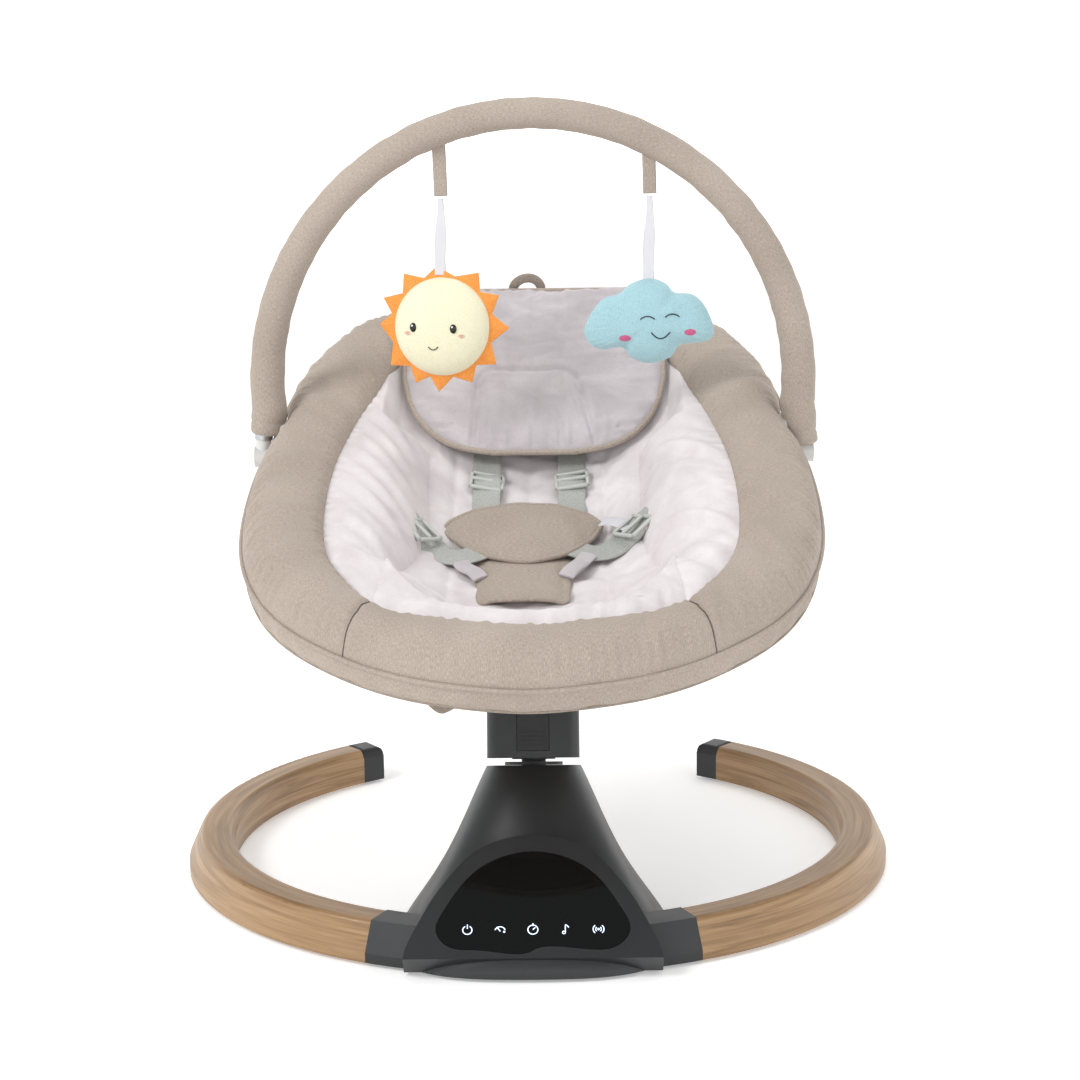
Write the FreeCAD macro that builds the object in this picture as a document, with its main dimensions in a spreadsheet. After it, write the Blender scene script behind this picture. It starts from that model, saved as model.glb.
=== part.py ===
import FreeCAD, Part
import math
import os
import Sketcher

# Baby swing: an open ring on the floor, a leaning tower with the controls at
# its front, a neck that swings left and right about a tilted axis, and an
# inclined padded seat with a toy bar over it.
# +X is the child's left seen from the front, +Y the open back, +Z up.
# The origin is the centre of the floor ring, on the floor.

os.makedirs("parts", exist_ok=True)
doc = FreeCAD.newDocument("baby_swing")
V = FreeCAD.Vector

# ---------------------------------------------------------------- dimensions
DIMENSIONS = {
    "ring_outer_radius": 310,
    "ring_inner_radius": 269,
    "ring_top_outer_radius": 299,
    "ring_top_inner_radius": 273,
    "ring_shoulder_height": 27,
    "ring_underside": 3,
    "ring_top_height": 35,
    "ring_edge_fillet": 5,
    "leg_wall": 3,
    "fit_gap": 0.1,
    "tower_half_angle": 25.4,
    "opening_half_angle": 35,
    "cap_angle": 4.9,
    "tongue_angle": 12,
    "cap_plug_angle": 6,
    "foot_radius": 8,
    "tower_wall": 3,
    "tower_front_slope": 43,
    "bezel_lift": 3,
    "glass_thickness": 2.4,
    "board_thickness": 1.6,
    "neck_y": -150,
    "neck_height": 125,
    "neck_tilt": 16.4,
    "collar_radius": 24,
    "shaft_radius": 10,
    "bearing_radius": 21,
    "bearing_width": 12,
    "housing_depth": 62,
    "block_half_width": 38,
    "block_bottom": 6,
    "block_top": 50,
    "latch_half_width": 13,
    "pin_radius": 5,
    "pin_across": 14.6,
    "pin_up": 63.7,
    "lug_half_width": 19,
    "seat_height": 345,
    "seat_incline": 18.4,
    "frame_tube_radius": 10,
    "frame_tube_wall": 1.5,
    "border_half_thickness": 27,
    "soft_gap": 0.3,
    "pad_top": 8,
    "cover_thickness": 3,
    "webbing_width": 25,
    "webbing_thickness": 2.2,
    "bar_y": 75,
    "bar_pivot_height": 350,
    "bar_radius": 238,
    "bar_centre_height": 415,
    "bar_flare": 5,
    "bar_tube_radius": 8,
    "bar_tube_wall": 1.5,
    "sleeve_radius": 14.5,
    "sleeve_bottom_height": 372,
    "toy_pivot_height": 579,
    "sun_x": -80,
    "sun_height": 466,
    "cloud_x": 105,
    "cloud_height": 469,
}
dims = doc.addObject("Spreadsheet::Sheet", "dims")
for row, (alias, value) in enumerate(DIMENSIONS.items(), start=1):
    dims.set(f"A{row}", alias)
    dims.set(f"B{row}", str(value))
    dims.setAlias(f"B{row}", alias)
doc.recompute()
D = {alias: dims.get(alias) for alias in DIMENSIONS}


# ------------------------------------------------------------------- helpers
def plane(body, role):
    """Origin plane or axis of a body."""
    return next(o for o in body.Origin.OriginFeatures if o.Role == role)


def in_sheet(text):
    words = sorted(DIMENSIONS, key=len, reverse=True)
    out = str(text)
    for i, word in enumerate(words):
        out = out.replace(word, f"<{i}>")
    for i, word in enumerate(words):
        out = out.replace(f"<{i}>", f"dims.{word}")
    return out


def value(text):
    return float(sheet_sum(text)) if isinstance(text, str) else float(text)


def sheet_sum(text):
    """Value of a sum or difference of sheet names and numbers."""
    total = 0.0
    for term in text.replace("-", "+-").split("+"):
        term = term.strip()
        if term:
            sign = -1 if term.startswith("-") else 1
            product = 1.0
            for factor in term.lstrip("-").split("*"):
                factor = factor.strip()
                product *= D[factor] if factor in D else float(factor)
            total += sign * product
    return total


def grown(points, amount):
    """Outline moved outwards from its middle by about amount."""
    mid_y = (max(y for _, y in points) + min(y for _, y in points)) / 2
    half_x = max(x for x, _ in points)
    half_y = max(y for _, y in points) - mid_y
    return [(x * (1 + amount / half_x), mid_y + (y - mid_y) * (1 + amount / half_y)) for x, y in points]


def new_body(label):
    body = doc.addObject("PartDesign::Body", label)
    body.Label = label
    return body


def new_sketch(body, role, name, lift=None, turn=None):
    """Sketch on one origin plane of its body, moved by lift (x, y, z) and turned (axis, degrees)."""
    sketch = body.newObject("Sketcher::SketchObject", name)
    sketch.AttachmentSupport = [(plane(body, role), "")]
    sketch.MapMode = "FlatFace"
    if lift or turn:
        axis, degrees = turn or ((0, 0, 1), 0)
        lift = lift or (0, 0, 0)
        sketch.AttachmentOffset = FreeCAD.Placement(
            V(*[value(c) for c in lift]), FreeCAD.Rotation(V(*axis), value(degrees))
        )
        for coordinate, prop in zip(lift, ("x", "y", "z")):
            if isinstance(coordinate, str):
                sketch.setExpression("AttachmentOffset.Base." + prop, in_sheet(coordinate))
        if isinstance(degrees, str):
            sketch.setExpression("AttachmentOffset.Rotation.Angle", in_sheet(degrees))
    return sketch


def polygon(sketch, corners):
    """Closed outline; a corner coordinate given as text is tied to the sheet."""
    first = sketch.GeometryCount
    points = [V(value(x), value(y), 0) for x, y in corners]
    count = len(points)
    for i in range(count):
        sketch.addGeometry(Part.LineSegment(points[i], points[(i + 1) % count]))
    for i in range(count):
        following = first + (i + 1) % count
        sketch.addConstraint(Sketcher.Constraint("Coincident", first + i, 2, following, 1))
    for i, (x, y) in enumerate(corners):
        for kind, coordinate in (("DistanceX", x), ("DistanceY", y)):
            index = sketch.addConstraint(
                Sketcher.Constraint(kind, -1, 1, first + i, 1, value(coordinate))
            )
            if isinstance(coordinate, str):
                sketch.setExpression(f"Constraints[{index}]", in_sheet(coordinate))


def circle(sketch, x, y, radius):
    """Circle whose radius is tied to the sheet when given as text."""
    index = sketch.addGeometry(Part.Circle(V(x, y, 0), V(0, 0, 1), value(radius)))
    constraint = sketch.addConstraint(Sketcher.Constraint("Radius", index, value(radius)))
    if isinstance(radius, str):
        sketch.setExpression(f"Constraints[{constraint}]", in_sheet(radius))


def closed_curve(sketch, points):
    curve = Part.BSplineCurve()
    curve.interpolate([V(x, y, 0) for x, y in points], PeriodicFlag=True)
    sketch.addGeometry(curve)


def pad(body, sketch, name, length, both_ways=False, reverse=False):
    feature = body.newObject("PartDesign::Pad", name)
    feature.Profile = sketch
    feature.Length = value(length)
    feature.Midplane = both_ways
    feature.Reversed = reverse
    if isinstance(length, str):
        feature.setExpression("Length", in_sheet(length))
    return feature


def pocket(body, sketch, name, length, both_ways=False, reverse=False):
    doc.recompute()
    before = body.Shape.Volume
    feature = body.newObject("PartDesign::Pocket", name)
    feature.Profile = sketch
    feature.Length = value(length)
    feature.Midplane = both_ways
    feature.Reversed = reverse
    if isinstance(length, str):
        feature.setExpression("Length", in_sheet(length))
    doc.recompute()
    if body.Shape.Volume >= before - 0.5:
        raise RuntimeError(f"{body.Label}: {name} cuts nothing")
    return feature


def round_edges(body, feature, name, radius, keep):
    """Fillet of the edges for which keep(edge) is true."""
    doc.recompute()
    edges = [f"Edge{i}" for i, edge in enumerate(feature.Shape.Edges, start=1) if keep(edge)]
    fillet = body.newObject("PartDesign::Fillet", name)
    fillet.Base = (feature, edges)
    fillet.Radius = value(radius)
    if isinstance(radius, str):
        fillet.setExpression("Radius", in_sheet(radius))
    doc.recompute()
    return fillet


def cylinder(label, radius, height, where, axis="z"):
    """Part::Cylinder with its foot at where, along +x, +y or +z."""
    part = doc.addObject("Part::Cylinder", label)
    part.Label = label
    part.Radius = value(radius)
    part.Height = value(height)
    if isinstance(radius, str):
        part.setExpression("Radius", in_sheet(radius))
    if isinstance(height, str):
        part.setExpression("Height", in_sheet(height))
    turn = {
        "z": FreeCAD.Rotation(),
        "x": FreeCAD.Rotation(V(0, 1, 0), 90),
        "y": FreeCAD.Rotation(V(1, 0, 0), -90),
    }
    part.Placement = FreeCAD.Placement(V(*[value(c) for c in where]), turn[axis])
    return part


def box(label, low, high):
    """Part::Box between two opposite corners."""
    part = doc.addObject("Part::Box", label)
    part.Label = label
    low = [value(c) for c in low]
    high = [value(c) for c in high]
    part.Length, part.Width, part.Height = [b - a for a, b in zip(low, high)]
    part.Placement.Base = V(*low)
    return part


def combine(kind, label, *parts):
    """Cut, MultiFuse, MultiCommon or Compound of parts."""
    result = doc.addObject(f"Part::{kind}", label)
    result.Label = label
    if kind == "Cut":
        result.Base, result.Tool = parts
    elif kind == "Compound":
        result.Links = list(parts)
    else:
        result.Shapes = list(parts)
    return result


def cut_by(label, part, tools):
    """Part cut by each tool in turn; the last cut carries the label."""
    for number, tool in enumerate(tools):
        last = number == len(tools) - 1
        part = combine("Cut", label if last else f"{label}_{number}", part, tool)
    return part


nodes = []


def keep(part, frame="world"):
    """Register a finished sub-part; neck and seat pieces are drawn in their own inclined frames."""
    if frame == "neck":
        place(part, 0, "neck_y", "neck_height", "-neck_tilt")
    elif frame == "seat":
        place(part, 0, 0, "seat_height", "seat_incline")
    nodes.append(part)
    return part


def place(part, x, y, z, turn_about_x):
    """Placement tied to the sheet, added in front of the part's own one."""
    own = part.Placement
    frame = FreeCAD.Placement(
        V(value(x), value(y), value(z)), FreeCAD.Rotation(V(1, 0, 0), value(turn_about_x))
    )
    part.Placement = frame.multiply(own)
    if own.isIdentity():
        part.Placement = FreeCAD.Placement(
            frame.Base, FreeCAD.Rotation(V(1, 0, 0), abs(value(turn_about_x)))
        )
        sign = -1 if value(turn_about_x) < 0 else 1
        part.setExpression("Placement.Base.x", str(value(x)))
        part.setExpression("Placement.Base.y", in_sheet(y))
        part.setExpression("Placement.Base.z", in_sheet(z))
        part.setExpression("Placement.Rotation.Axis.x", str(sign))
        part.setExpression("Placement.Rotation.Angle", in_sheet(str(turn_about_x).lstrip("-")))


# ----------------------------------------------------------------- the ring
def ring_section(sketch, inset=0):
    """Section of the floor ring, or of its hollow when inset is the wall."""
    less = f" - {inset}" if inset else ""
    more = f" + {inset}" if inset else ""
    polygon(
        sketch,
        [
            ("ring_inner_radius" + more, "ring_underside" + more),
            ("ring_outer_radius" + less, "ring_underside" + more),
            ("ring_outer_radius" + less, "ring_underside + 8"),
            ("ring_top_outer_radius" + less, "ring_top_height" + less),
            ("ring_top_inner_radius" + more, "ring_top_height" + less),
            ("ring_inner_radius" + more, "ring_shoulder_height" + less),
        ],
    )


def ring_piece(body, name, inset, start, end, cutting=False):
    """Turns the section about Z from start to end, in degrees from the front towards +X."""
    sketch = new_sketch(body, "XZ_Plane", name + "_section", turn=((0, 1, 0), start - 90))
    ring_section(sketch, inset)
    kind = "PartDesign::Groove" if cutting else "PartDesign::Revolution"
    feature = body.newObject(kind, name)
    feature.Profile = sketch
    feature.ReferenceAxis = (plane(body, "Z_Axis"), [""])
    feature.Angle = end - start
    return feature


def long_top_edge(edge):
    """True for the two long arcs along the top of a ring piece."""
    box_of_edge = edge.BoundBox
    return box_of_edge.ZMin > D["ring_top_height"] - 0.01 and edge.Length > 60


leg_start = D["tower_half_angle"]
leg_end = 180 - D["opening_half_angle"] - D["cap_angle"]
cap_end = 180 - D["opening_half_angle"]
plug_start = leg_end - D["cap_plug_angle"]
half_tongue = D["tongue_angle"] / 2


SCREW_RADIUS = 1.9
SCREW_REACH = 12
SCREW_ANGLES = (leg_start - 3, leg_start + 3)
ring_middle = (D["ring_outer_radius"] + D["ring_inner_radius"]) / 2


def ring_place(side, angle):
    """Place on the middle of the ring, at an angle from the front towards one side."""
    return side * ring_middle * math.sin(math.radians(angle)), -ring_middle * math.cos(math.radians(angle))


def screw_holes(body, places, clearance):
    """Holes for the base screws, up from the underside."""
    sketch = new_sketch(body, "XY_Plane", "screw_hole_outline", lift=(0, 0, SCREW_REACH + 3))
    for x, y in places:
        circle(sketch, x, y, SCREW_RADIUS + clearance)
    pocket(body, sketch, "screw_holes", SCREW_REACH + 3)


def mirrored_span(side, start, end):
    """Angles of a ring piece on the +X side (side 1) or the -X side (side -1)."""
    return (start, end) if side > 0 else (-end, -start)


for side, word in ((-1, "left"), (1, "right")):
    leg = new_body("leg_" + word)
    outside = ring_piece(leg, "outside", 0, *mirrored_span(side, leg_start, leg_end))
    round_edges(leg, outside, "soft_edges", "ring_edge_fillet", long_top_edge)
    ring_piece(leg, "hollow", D["leg_wall"], *mirrored_span(side, leg_start - 1, leg_end + 1), cutting=True)
    screw_holes(leg, [ring_place(side, SCREW_ANGLES[1])], 0.3)
    keep(leg)

    cap = new_body("end_cap_" + word)
    outside = ring_piece(cap, "outside", 0, *mirrored_span(side, leg_end, cap_end))
    round_edges(
        cap, outside, "soft_edges", "ring_edge_fillet",
        lambda edge: edge.BoundBox.ZMin > D["ring_top_height"] - 0.01 and 15 < edge.Length < 60,
    )
    plug_inset = D["leg_wall"] + D["fit_gap"]
    ring_piece(cap, "plug", plug_inset, *mirrored_span(side, plug_start, leg_end + 0.5))
    keep(cap)

    tongue = new_body("leg_tongue_" + word)
    ring_piece(
        tongue, "tongue", plug_inset,
        *mirrored_span(side, leg_start - half_tongue, leg_start + half_tongue),
    )
    screw_holes(tongue, [ring_place(side, angle) for angle in SCREW_ANGLES], 0.02)
    keep(tongue)

# Soft feet under the legs and the tower.
feet = []
foot_places = [(side, angle) for side in (-1, 1) for angle in (14, 45, 80, 115, 142)]
for number, (side, angle) in enumerate(foot_places):
    feet.append(cylinder(f"foot_{number}", "foot_radius", "ring_underside", (*ring_place(side, angle), 0)))
keep(combine("Compound", "rubber_feet", *feet))


# ---------------------------------------------------------------- the tower
# Level sections from the floor to the neck: height, middle y, half width,
# half depth, lean in degrees and squareness of the rounded outline.
TOWER_SECTIONS = [
    (3, -228.0, 113, 91.0, 0, 2.9),
    (16, -226.0, 106, 90.0, 0, 2.7),
    (48, -206.0, 83, 69.5, 4, 2.4),
    (90, -174.0, 57, 51.5, 10, 2.1),
    (125, -150.0, 39, 39.0, 16.4, 2.0),
]
SECTION_POINTS = 20


def rounded_outline(half_width, half_depth, squareness):
    """Points of |x/a|^n + |y/b|^n = 1."""
    points = []
    for i in range(SECTION_POINTS):
        angle = 2 * math.pi * (i + 0.5) / SECTION_POINTS
        c = math.cos(angle)
        d = math.sin(angle)
        reach = (abs(c) ** squareness + abs(d) ** squareness) ** (-1 / squareness)
        points.append((half_width * reach * c, half_depth * reach * d))
    return points


def tower_loft(body, name, inset, kind):
    sketches = []
    for number, (z, y, half_width, half_depth, lean, squareness) in enumerate(TOWER_SECTIONS):
        drop = 0
        if inset:
            drop = -4 if number == 0 else (-5 if number == len(TOWER_SECTIONS) - 1 else 0)
        lift = (0, y, z + drop)
        sketch = new_sketch(body, "XY_Plane", f"{name}_{number}", lift=lift, turn=((1, 0, 0), -lean))
        closed_curve(sketch, rounded_outline(half_width - inset, half_depth - inset, squareness))
        sketches.append(sketch)
    loft = body.newObject(kind, name)
    loft.Profile = sketches[0]
    loft.Sections = sketches[1:]
    return loft


# Front face: its own plane, drawn with x across and y up the slope.
FACE_ORIGIN = (0, -316, 16)
GLASS_OUTLINE = [
    (0, 9), (44, 9.6), (66, 13), (75.5, 27), (70, 43), (60, 60), (45, 78),
    (25, 90), (0, 95), (-25, 90), (-45, 78), (-60, 60), (-70, 43), (-75.5, 27),
    (-66, 13), (-44, 9.6),
]
BEZEL_OUTLINE = [
    (101, 2), (98, 14), (91, 30), (80, 52), (64, 76), (44, 97), (22, 107), (0, 110),
    (-22, 107), (-44, 97), (-64, 76), (-80, 52), (-91, 30), (-98, 14), (-101, 2),
]


def face_sketch(body, name, out):
    """Sketch parallel to the sloping front face, out from it by a distance."""
    slope = math.radians(D["tower_front_slope"])
    x, y, z = FACE_ORIGIN
    lift = (x, y - out * math.sin(slope), z + out * math.cos(slope))
    return new_sketch(body, "XY_Plane", name, lift=lift, turn=((1, 0, 0), "tower_front_slope"))


cover = new_body("tower_cover")
ring_piece(cover, "ring_part", 0, -leg_start, leg_start)
tower_loft(cover, "cone", 0, "PartDesign::AdditiveLoft")
bezel = face_sketch(cover, "bezel_outline", D["bezel_lift"])
points = [V(x, y, 0) for x, y in BEZEL_OUTLINE]
spline = Part.BSplineCurve()
spline.interpolate(points)
bezel.addGeometry(spline)
bezel.addGeometry(Part.LineSegment(points[-1], points[0]))
pad(cover, bezel, "bezel", 30, reverse=True)
tower_loft(cover, "cavity", D["tower_wall"] + 0.4, "PartDesign::SubtractiveLoft")
ring_piece(cover, "ring_hollow", D["leg_wall"], -leg_start - 1, leg_start + 1, cutting=True)
recess = face_sketch(cover, "glass_recess_outline", D["bezel_lift"])
closed_curve(recess, grown(GLASS_OUTLINE, 0.3))
pocket(cover, recess, "glass_recess", "glass_thickness + 0.2")
wiring = face_sketch(cover, "wiring_window_outline", D["bezel_lift"])
polygon(wiring, [(-34, 24), (34, 24), (34, 62), (-34, 62)])
pocket(cover, wiring, "wiring_window", 12)
below = new_sketch(cover, "XY_Plane", "below_the_underside", lift=(0, 0, "ring_underside"))
polygon(below, [(-160, -400), (160, -400), (160, -100), (-160, -100)])
pocket(cover, below, "flat_underside", 60)
screw_holes(cover, [ring_place(side, SCREW_ANGLES[0]) for side in (-1, 1)], 0.3)
across_neck = ((1, 0, 0), -D["neck_tilt"])
neck_place = (0, "neck_y", "neck_height")
neck_hole = new_sketch(cover, "XY_Plane", "neck_hole_outline", lift=neck_place, turn=across_neck)
circle(neck_hole, 0, 0, "bearing_radius + 4.2")
pocket(cover, neck_hole, "neck_hole", 24, both_ways=True)
keep(cover)

base_plate = new_body("tower_base_plate")
sketch = new_sketch(base_plate, "XY_Plane", "plate_outline", lift=(0, -228, "ring_underside"))
closed_curve(sketch, rounded_outline(104, 82, 2.9))
pad(base_plate, sketch, "plate", "tower_wall")
slots = new_sketch(base_plate, "XY_Plane", "sound_slots", lift=(0, -250, "ring_underside + tower_wall"))
for row in range(-2, 3):
    polygon(slots, [(-58, row * 6 - 1.2), (-30, row * 6 - 1.2), (-30, row * 6 + 1.2), (-58, row * 6 + 1.2)])
pocket(base_plate, slots, "sound_openings", 6)
keep(base_plate)

glass = new_body("touch_glass")
outline = face_sketch(glass, "outline", D["bezel_lift"] - D["glass_thickness"])
closed_curve(outline, GLASS_OUTLINE)
pad(glass, outline, "pane", "glass_thickness")
keep(glass)

board = new_body("touch_circuit_board")
outline = face_sketch(board, "outline", -13)
polygon(outline, [(-44, 20), (44, 20), (44, 66), (-44, 66)])
pad(board, outline, "laminate", "board_thickness")
chip = face_sketch(board, "chip_outline", -13 + D["board_thickness"])
polygon(chip, [(-9, 36), (5, 36), (5, 50), (-9, 50)])
pad(board, chip, "controller_chip", 1.8)
keep(board)

speaker_basket = cylinder("speaker_basket", 19, 12, (-44, -250, 6.8))
speaker_magnet = cylinder("speaker_magnet", 11, 8, (-44, -250, 18.8))
keep(combine("MultiFuse", "speaker", speaker_basket, speaker_magnet))

inlet = new_body("power_inlet")
sketch = new_sketch(inlet, "XZ_Plane", "shell_outline", lift=(0, 24, 147))
circle(sketch, 0, 0, 6)
circle(sketch, 0, 0, 4)
pad(inlet, sketch, "shell", 10)
keep(inlet)


# ------------------------------------------------------- neck, fixed pieces
def neck_turning(label, rows):
    """Solid of revolution about the neck axis, from corners (radius, height) as sheet sums."""
    body = new_body(label)
    sketch = new_sketch(body, "XZ_Plane", label + "_section")
    polygon(sketch, rows)
    turned = body.newObject("PartDesign::Revolution", label + "_turned")
    turned.Profile = sketch
    turned.ReferenceAxis = (plane(body, "Z_Axis"), [""])
    turned.Angle = 360
    return body


def ring_rows(inner, outer, low, high):
    return [(inner, low), (outer, low), (outer, high), (inner, high)]


keep(
    neck_turning(
        "bearing_housing",
        [
            ("bearing_radius", "-housing_depth"),
            ("bearing_radius + 4", "-housing_depth"),
            ("bearing_radius + 4", "-1"),
            ("bearing_radius", "-1"),
            ("bearing_radius", "-1 - bearing_width"),
            ("bearing_radius - 4", "-1 - bearing_width"),
            ("bearing_radius - 4", "bearing_width - housing_depth"),
            ("bearing_radius", "bearing_width - housing_depth"),
        ],
    ),
    "neck",
)
bearing_inside = "shaft_radius + 0.02"
keep(
    neck_turning(
        "upper_bearing",
        ring_rows(bearing_inside, "bearing_radius", "-1 - bearing_width", "-1"),
    ),
    "neck",
)
keep(
    neck_turning(
        "lower_bearing",
        ring_rows(bearing_inside, "bearing_radius", "-housing_depth", "bearing_width - housing_depth"),
    ),
    "neck",
)
keep(neck_turning("neck_collar", ring_rows("shaft_radius + 1", "collar_radius", "0.2", "3")), "neck")

carrier = new_body("coil_carrier")
sketch = new_sketch(carrier, "YZ_Plane", "side_outline")
polygon(sketch, [(14, -62), (18, -62), (18, -92), (-60, -92), (-60, -89), (14, -89)])
pad(carrier, sketch, "bracket", 24, both_ways=True)
keep(carrier, "neck")

coil = new_body("drive_coil")
sketch = new_sketch(coil, "XY_Plane", "winding_outline", lift=(0, -40, -88.9))
circle(sketch, 0, 0, 18)
circle(sketch, 0, 0, 7)
pad(coil, sketch, "winding", 6)
keep(coil, "neck")

# -------------------------------------------------------- neck, moving pieces
shaft = neck_turning(
    "neck_shaft",
    [
        (0, -80), ("shaft_radius", -80), ("shaft_radius", 5), ("shaft_radius + 8", 5),
        ("shaft_radius + 8", 9), ("shaft_radius", 9), ("shaft_radius", 34), (0, 34),
    ],
)
keep(shaft, "neck")

lever = new_body("swing_lever")
sketch = new_sketch(lever, "XY_Plane", "lever_outline", lift=(0, 0, -79))
polygon(sketch, [(-13, 4), (-13, -20), (-9, -52), (9, -52), (13, -20), (13, 4), (6, 12.5), (-6, 12.5)])
pad(lever, sketch, "arm", 5)
bore = new_sketch(lever, "XY_Plane", "bore_outline", lift=(0, 0, -74))
circle(bore, 0, 0, "shaft_radius")
pocket(lever, bore, "bore", 6)
keep(lever, "neck")

magnet = new_body("drive_magnet")
sketch = new_sketch(magnet, "XY_Plane", "magnet_outline", lift=(0, -40, -79))
circle(sketch, 0, 0, 8)
pad(magnet, sketch, "disc", 3, reverse=True)
keep(magnet, "neck")

# Neck block: a moulded housing with a front slot for the latch and a lug on top.
LATCH_LOW = 12
LATCH_HIGH = 44
block = new_body("neck_block")
sketch = new_sketch(block, "XY_Plane", "block_outline", lift=(0, 0, "block_bottom"))
polygon(
    sketch,
    [
        ("-block_half_width", -30), ("block_half_width", -30),
        ("block_half_width", 34), ("-block_half_width", 34),
    ],
)
solid = pad(block, sketch, "block", "block_top - block_bottom")
round_edges(
    block, solid, "round_corners", 9,
    lambda edge: abs(edge.BoundBox.ZLength - (D["block_top"] - D["block_bottom"])) < 0.1,
)
doc.recompute()
sketch = new_sketch(block, "YZ_Plane", "lug_outline")
polygon(
    sketch,
    [
        (2.6, 45), (26.6, 45), (26.6, "pin_up"),
        (20.6, "pin_up + 10.4"), (8.6, "pin_up + 10.4"), (2.6, "pin_up"),
    ],
)
pad(block, sketch, "lug", "lug_half_width + lug_half_width", both_ways=True)
sketch = new_sketch(block, "XZ_Plane", "latch_slot_outline", lift=(0, 0, 31))
SLOT_HALF_WIDTH = D["latch_half_width"] + 0.4
slot_low, slot_high = LATCH_LOW - 0.4, LATCH_HIGH + 0.4
polygon(
    sketch,
    [
        (-SLOT_HALF_WIDTH, slot_low), (SLOT_HALF_WIDTH, slot_low),
        (SLOT_HALF_WIDTH, slot_high), (-SLOT_HALF_WIDTH, slot_high),
    ],
)
pocket(block, sketch, "latch_slot", 17)
sketch = new_sketch(block, "XY_Plane", "shaft_bore_outline", lift=(0, 0, 34))
circle(sketch, 0, 0, "shaft_radius")
pocket(block, sketch, "shaft_bore", 40)
sketch = new_sketch(block, "XY_Plane", "flange_recess_outline", lift=(0, 0, 9))
circle(sketch, 0, 0, "shaft_radius + 8")
pocket(block, sketch, "flange_recess", 10)
sketch = new_sketch(block, "YZ_Plane", "pin_bore_outline")
circle(sketch, D["pin_across"], D["pin_up"], "pin_radius")
pocket(block, sketch, "pin_bore", 60, both_ways=True)
keep(block, "neck")

pin = cylinder("recline_pin", "pin_radius", 61, (-30.5, "pin_across", "pin_up"), axis="x")
keep(pin, "neck")

button = new_body("release_button")
sketch = new_sketch(button, "XZ_Plane", "button_outline", lift=(0, 0, 30.5))
polygon(sketch, [
    ("-latch_half_width", LATCH_LOW), ("latch_half_width", LATCH_LOW),
    ("latch_half_width", LATCH_HIGH), ("-latch_half_width", LATCH_HIGH),
])
pad(button, sketch, "key", 9, reverse=True)
ridges = new_sketch(button, "XZ_Plane", "ridge_outline", lift=(0, 0, 30.5))
for row in range(4):
    low = LATCH_LOW + 3 + row * 3.4
    polygon(ridges, [(-10, low), (10, low), (10, low + 1.6), (-10, low + 1.6)])
pad(button, ridges, "grip_ridges", 1)
keep(button, "neck")

spring = cylinder("latch_spring", 3.5, 7.4, (0, -21.4, 28), axis="y")
keep(spring, "neck")


# ---------------------------------------------------------------- the seat
# Drawn flat and inclined afterwards: x across, y along the incline towards
# the head, z square to the rim. Half widths of the rim against y.
def both_sides(right_half):
    """Closed outline from its right half, given from the foot end to the head end."""
    return right_half + [(-x, y) for x, y in reversed(right_half) if x > 0.5]


RIM_OUTLINE = both_sides([
    (0, -343), (60, -334), (108, -317), (150, -290), (190, -252), (218, -207), (236, -150),
    (243, -85), (241, 0), (231, 80), (222, 160), (205, 225), (175, 283), (125, 322), (62, 340), (0, 345),
])
OPENING_OUTLINE = both_sides([
    (0, -281), (57, -273), (111, -256), (148, -205), (168, -150), (174, -80), (171, 0),
    (158, 80), (143, 140), (132, 190), (116, 230), (86, 257), (45, 268), (0, 271),
])
FRONT_TUBE = [(213, -85), (206, -150), (186, -210), (150, -256), (100, -290), (50, -307), (0, -312)]
REAR_TUBE = [
    (213, -85), (211, 0), (203, 70), (195, 150), (179, 212), (150, 262), (105, 294), (50, 308), (0, 312),
]


def bent_tube(label, right_half, heading, wall=True):
    """Tube along a curve in the rim plane, from the +x side over the middle to the -x side."""
    body = new_body(label)
    points = [V(x, y, 0) for x, y in right_half]
    points += [V(-p.x, p.y, 0) for p in reversed(points[:-1])]
    curve = Part.BSplineCurve()
    curve.interpolate(Points=points, InitialTangent=V(0, heading, 0), FinalTangent=V(0, -heading, 0))
    spine = new_sketch(body, "XY_Plane", label + "_path")
    spine.addGeometry(curve)
    section = new_sketch(body, "XZ_Plane", label + "_section", lift=(0, 0, -right_half[0][1]))
    circle(section, right_half[0][0], 0, "frame_tube_radius")
    if wall:
        circle(section, right_half[0][0], 0, "frame_tube_radius - frame_tube_wall")
    pipe = body.newObject("PartDesign::AdditivePipe", label + "_pipe")
    pipe.Profile = section
    pipe.Spine = (spine, ["Edge1"])
    return body


keep(bent_tube("seat_frame_front", FRONT_TUBE, -1), "seat")
keep(bent_tube("seat_frame_rear", REAR_TUBE, 1), "seat")
tube_fills = [
    bent_tube("front_fill", FRONT_TUBE, -1, wall=False),
    bent_tube("rear_fill", REAR_TUBE, 1, wall=False),
]

# Cradle tube under the seat, in a plane square to the rim: a U of straight
# runs joined by tangent arcs.
CRADLE_Y = -126
CRADLE_CORNERS = [(208, -12), (208, -66), (160, -104.5), (-160, -104.5), (-208, -66), (-208, -12)]
CRADLE_BEND = 45


def rounded_path(sketch, corners, bend):
    """Open path of straight runs with a tangent arc of one radius at each corner."""
    points = [V(x, y, 0) for x, y in corners]
    start = points[0]
    for before, corner, after in zip(points, points[1:], points[2:]):
        inward = (before - corner).normalize()
        onward = (after - corner).normalize()
        half_turn = (math.pi - inward.getAngle(onward)) / 2
        back_off = bend * math.tan(half_turn)
        enter = corner + inward * back_off
        leave = corner + onward * back_off
        middle_way = (inward + onward).normalize()
        middle = corner + middle_way * (bend / math.cos(half_turn) - bend)
        sketch.addGeometry(Part.LineSegment(start, enter))
        sketch.addGeometry(Part.Arc(enter, middle, leave))
        start = leave
    sketch.addGeometry(Part.LineSegment(start, points[-1]))
    return [f"Edge{i}" for i in range(1, 2 * len(corners) - 2)]


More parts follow.
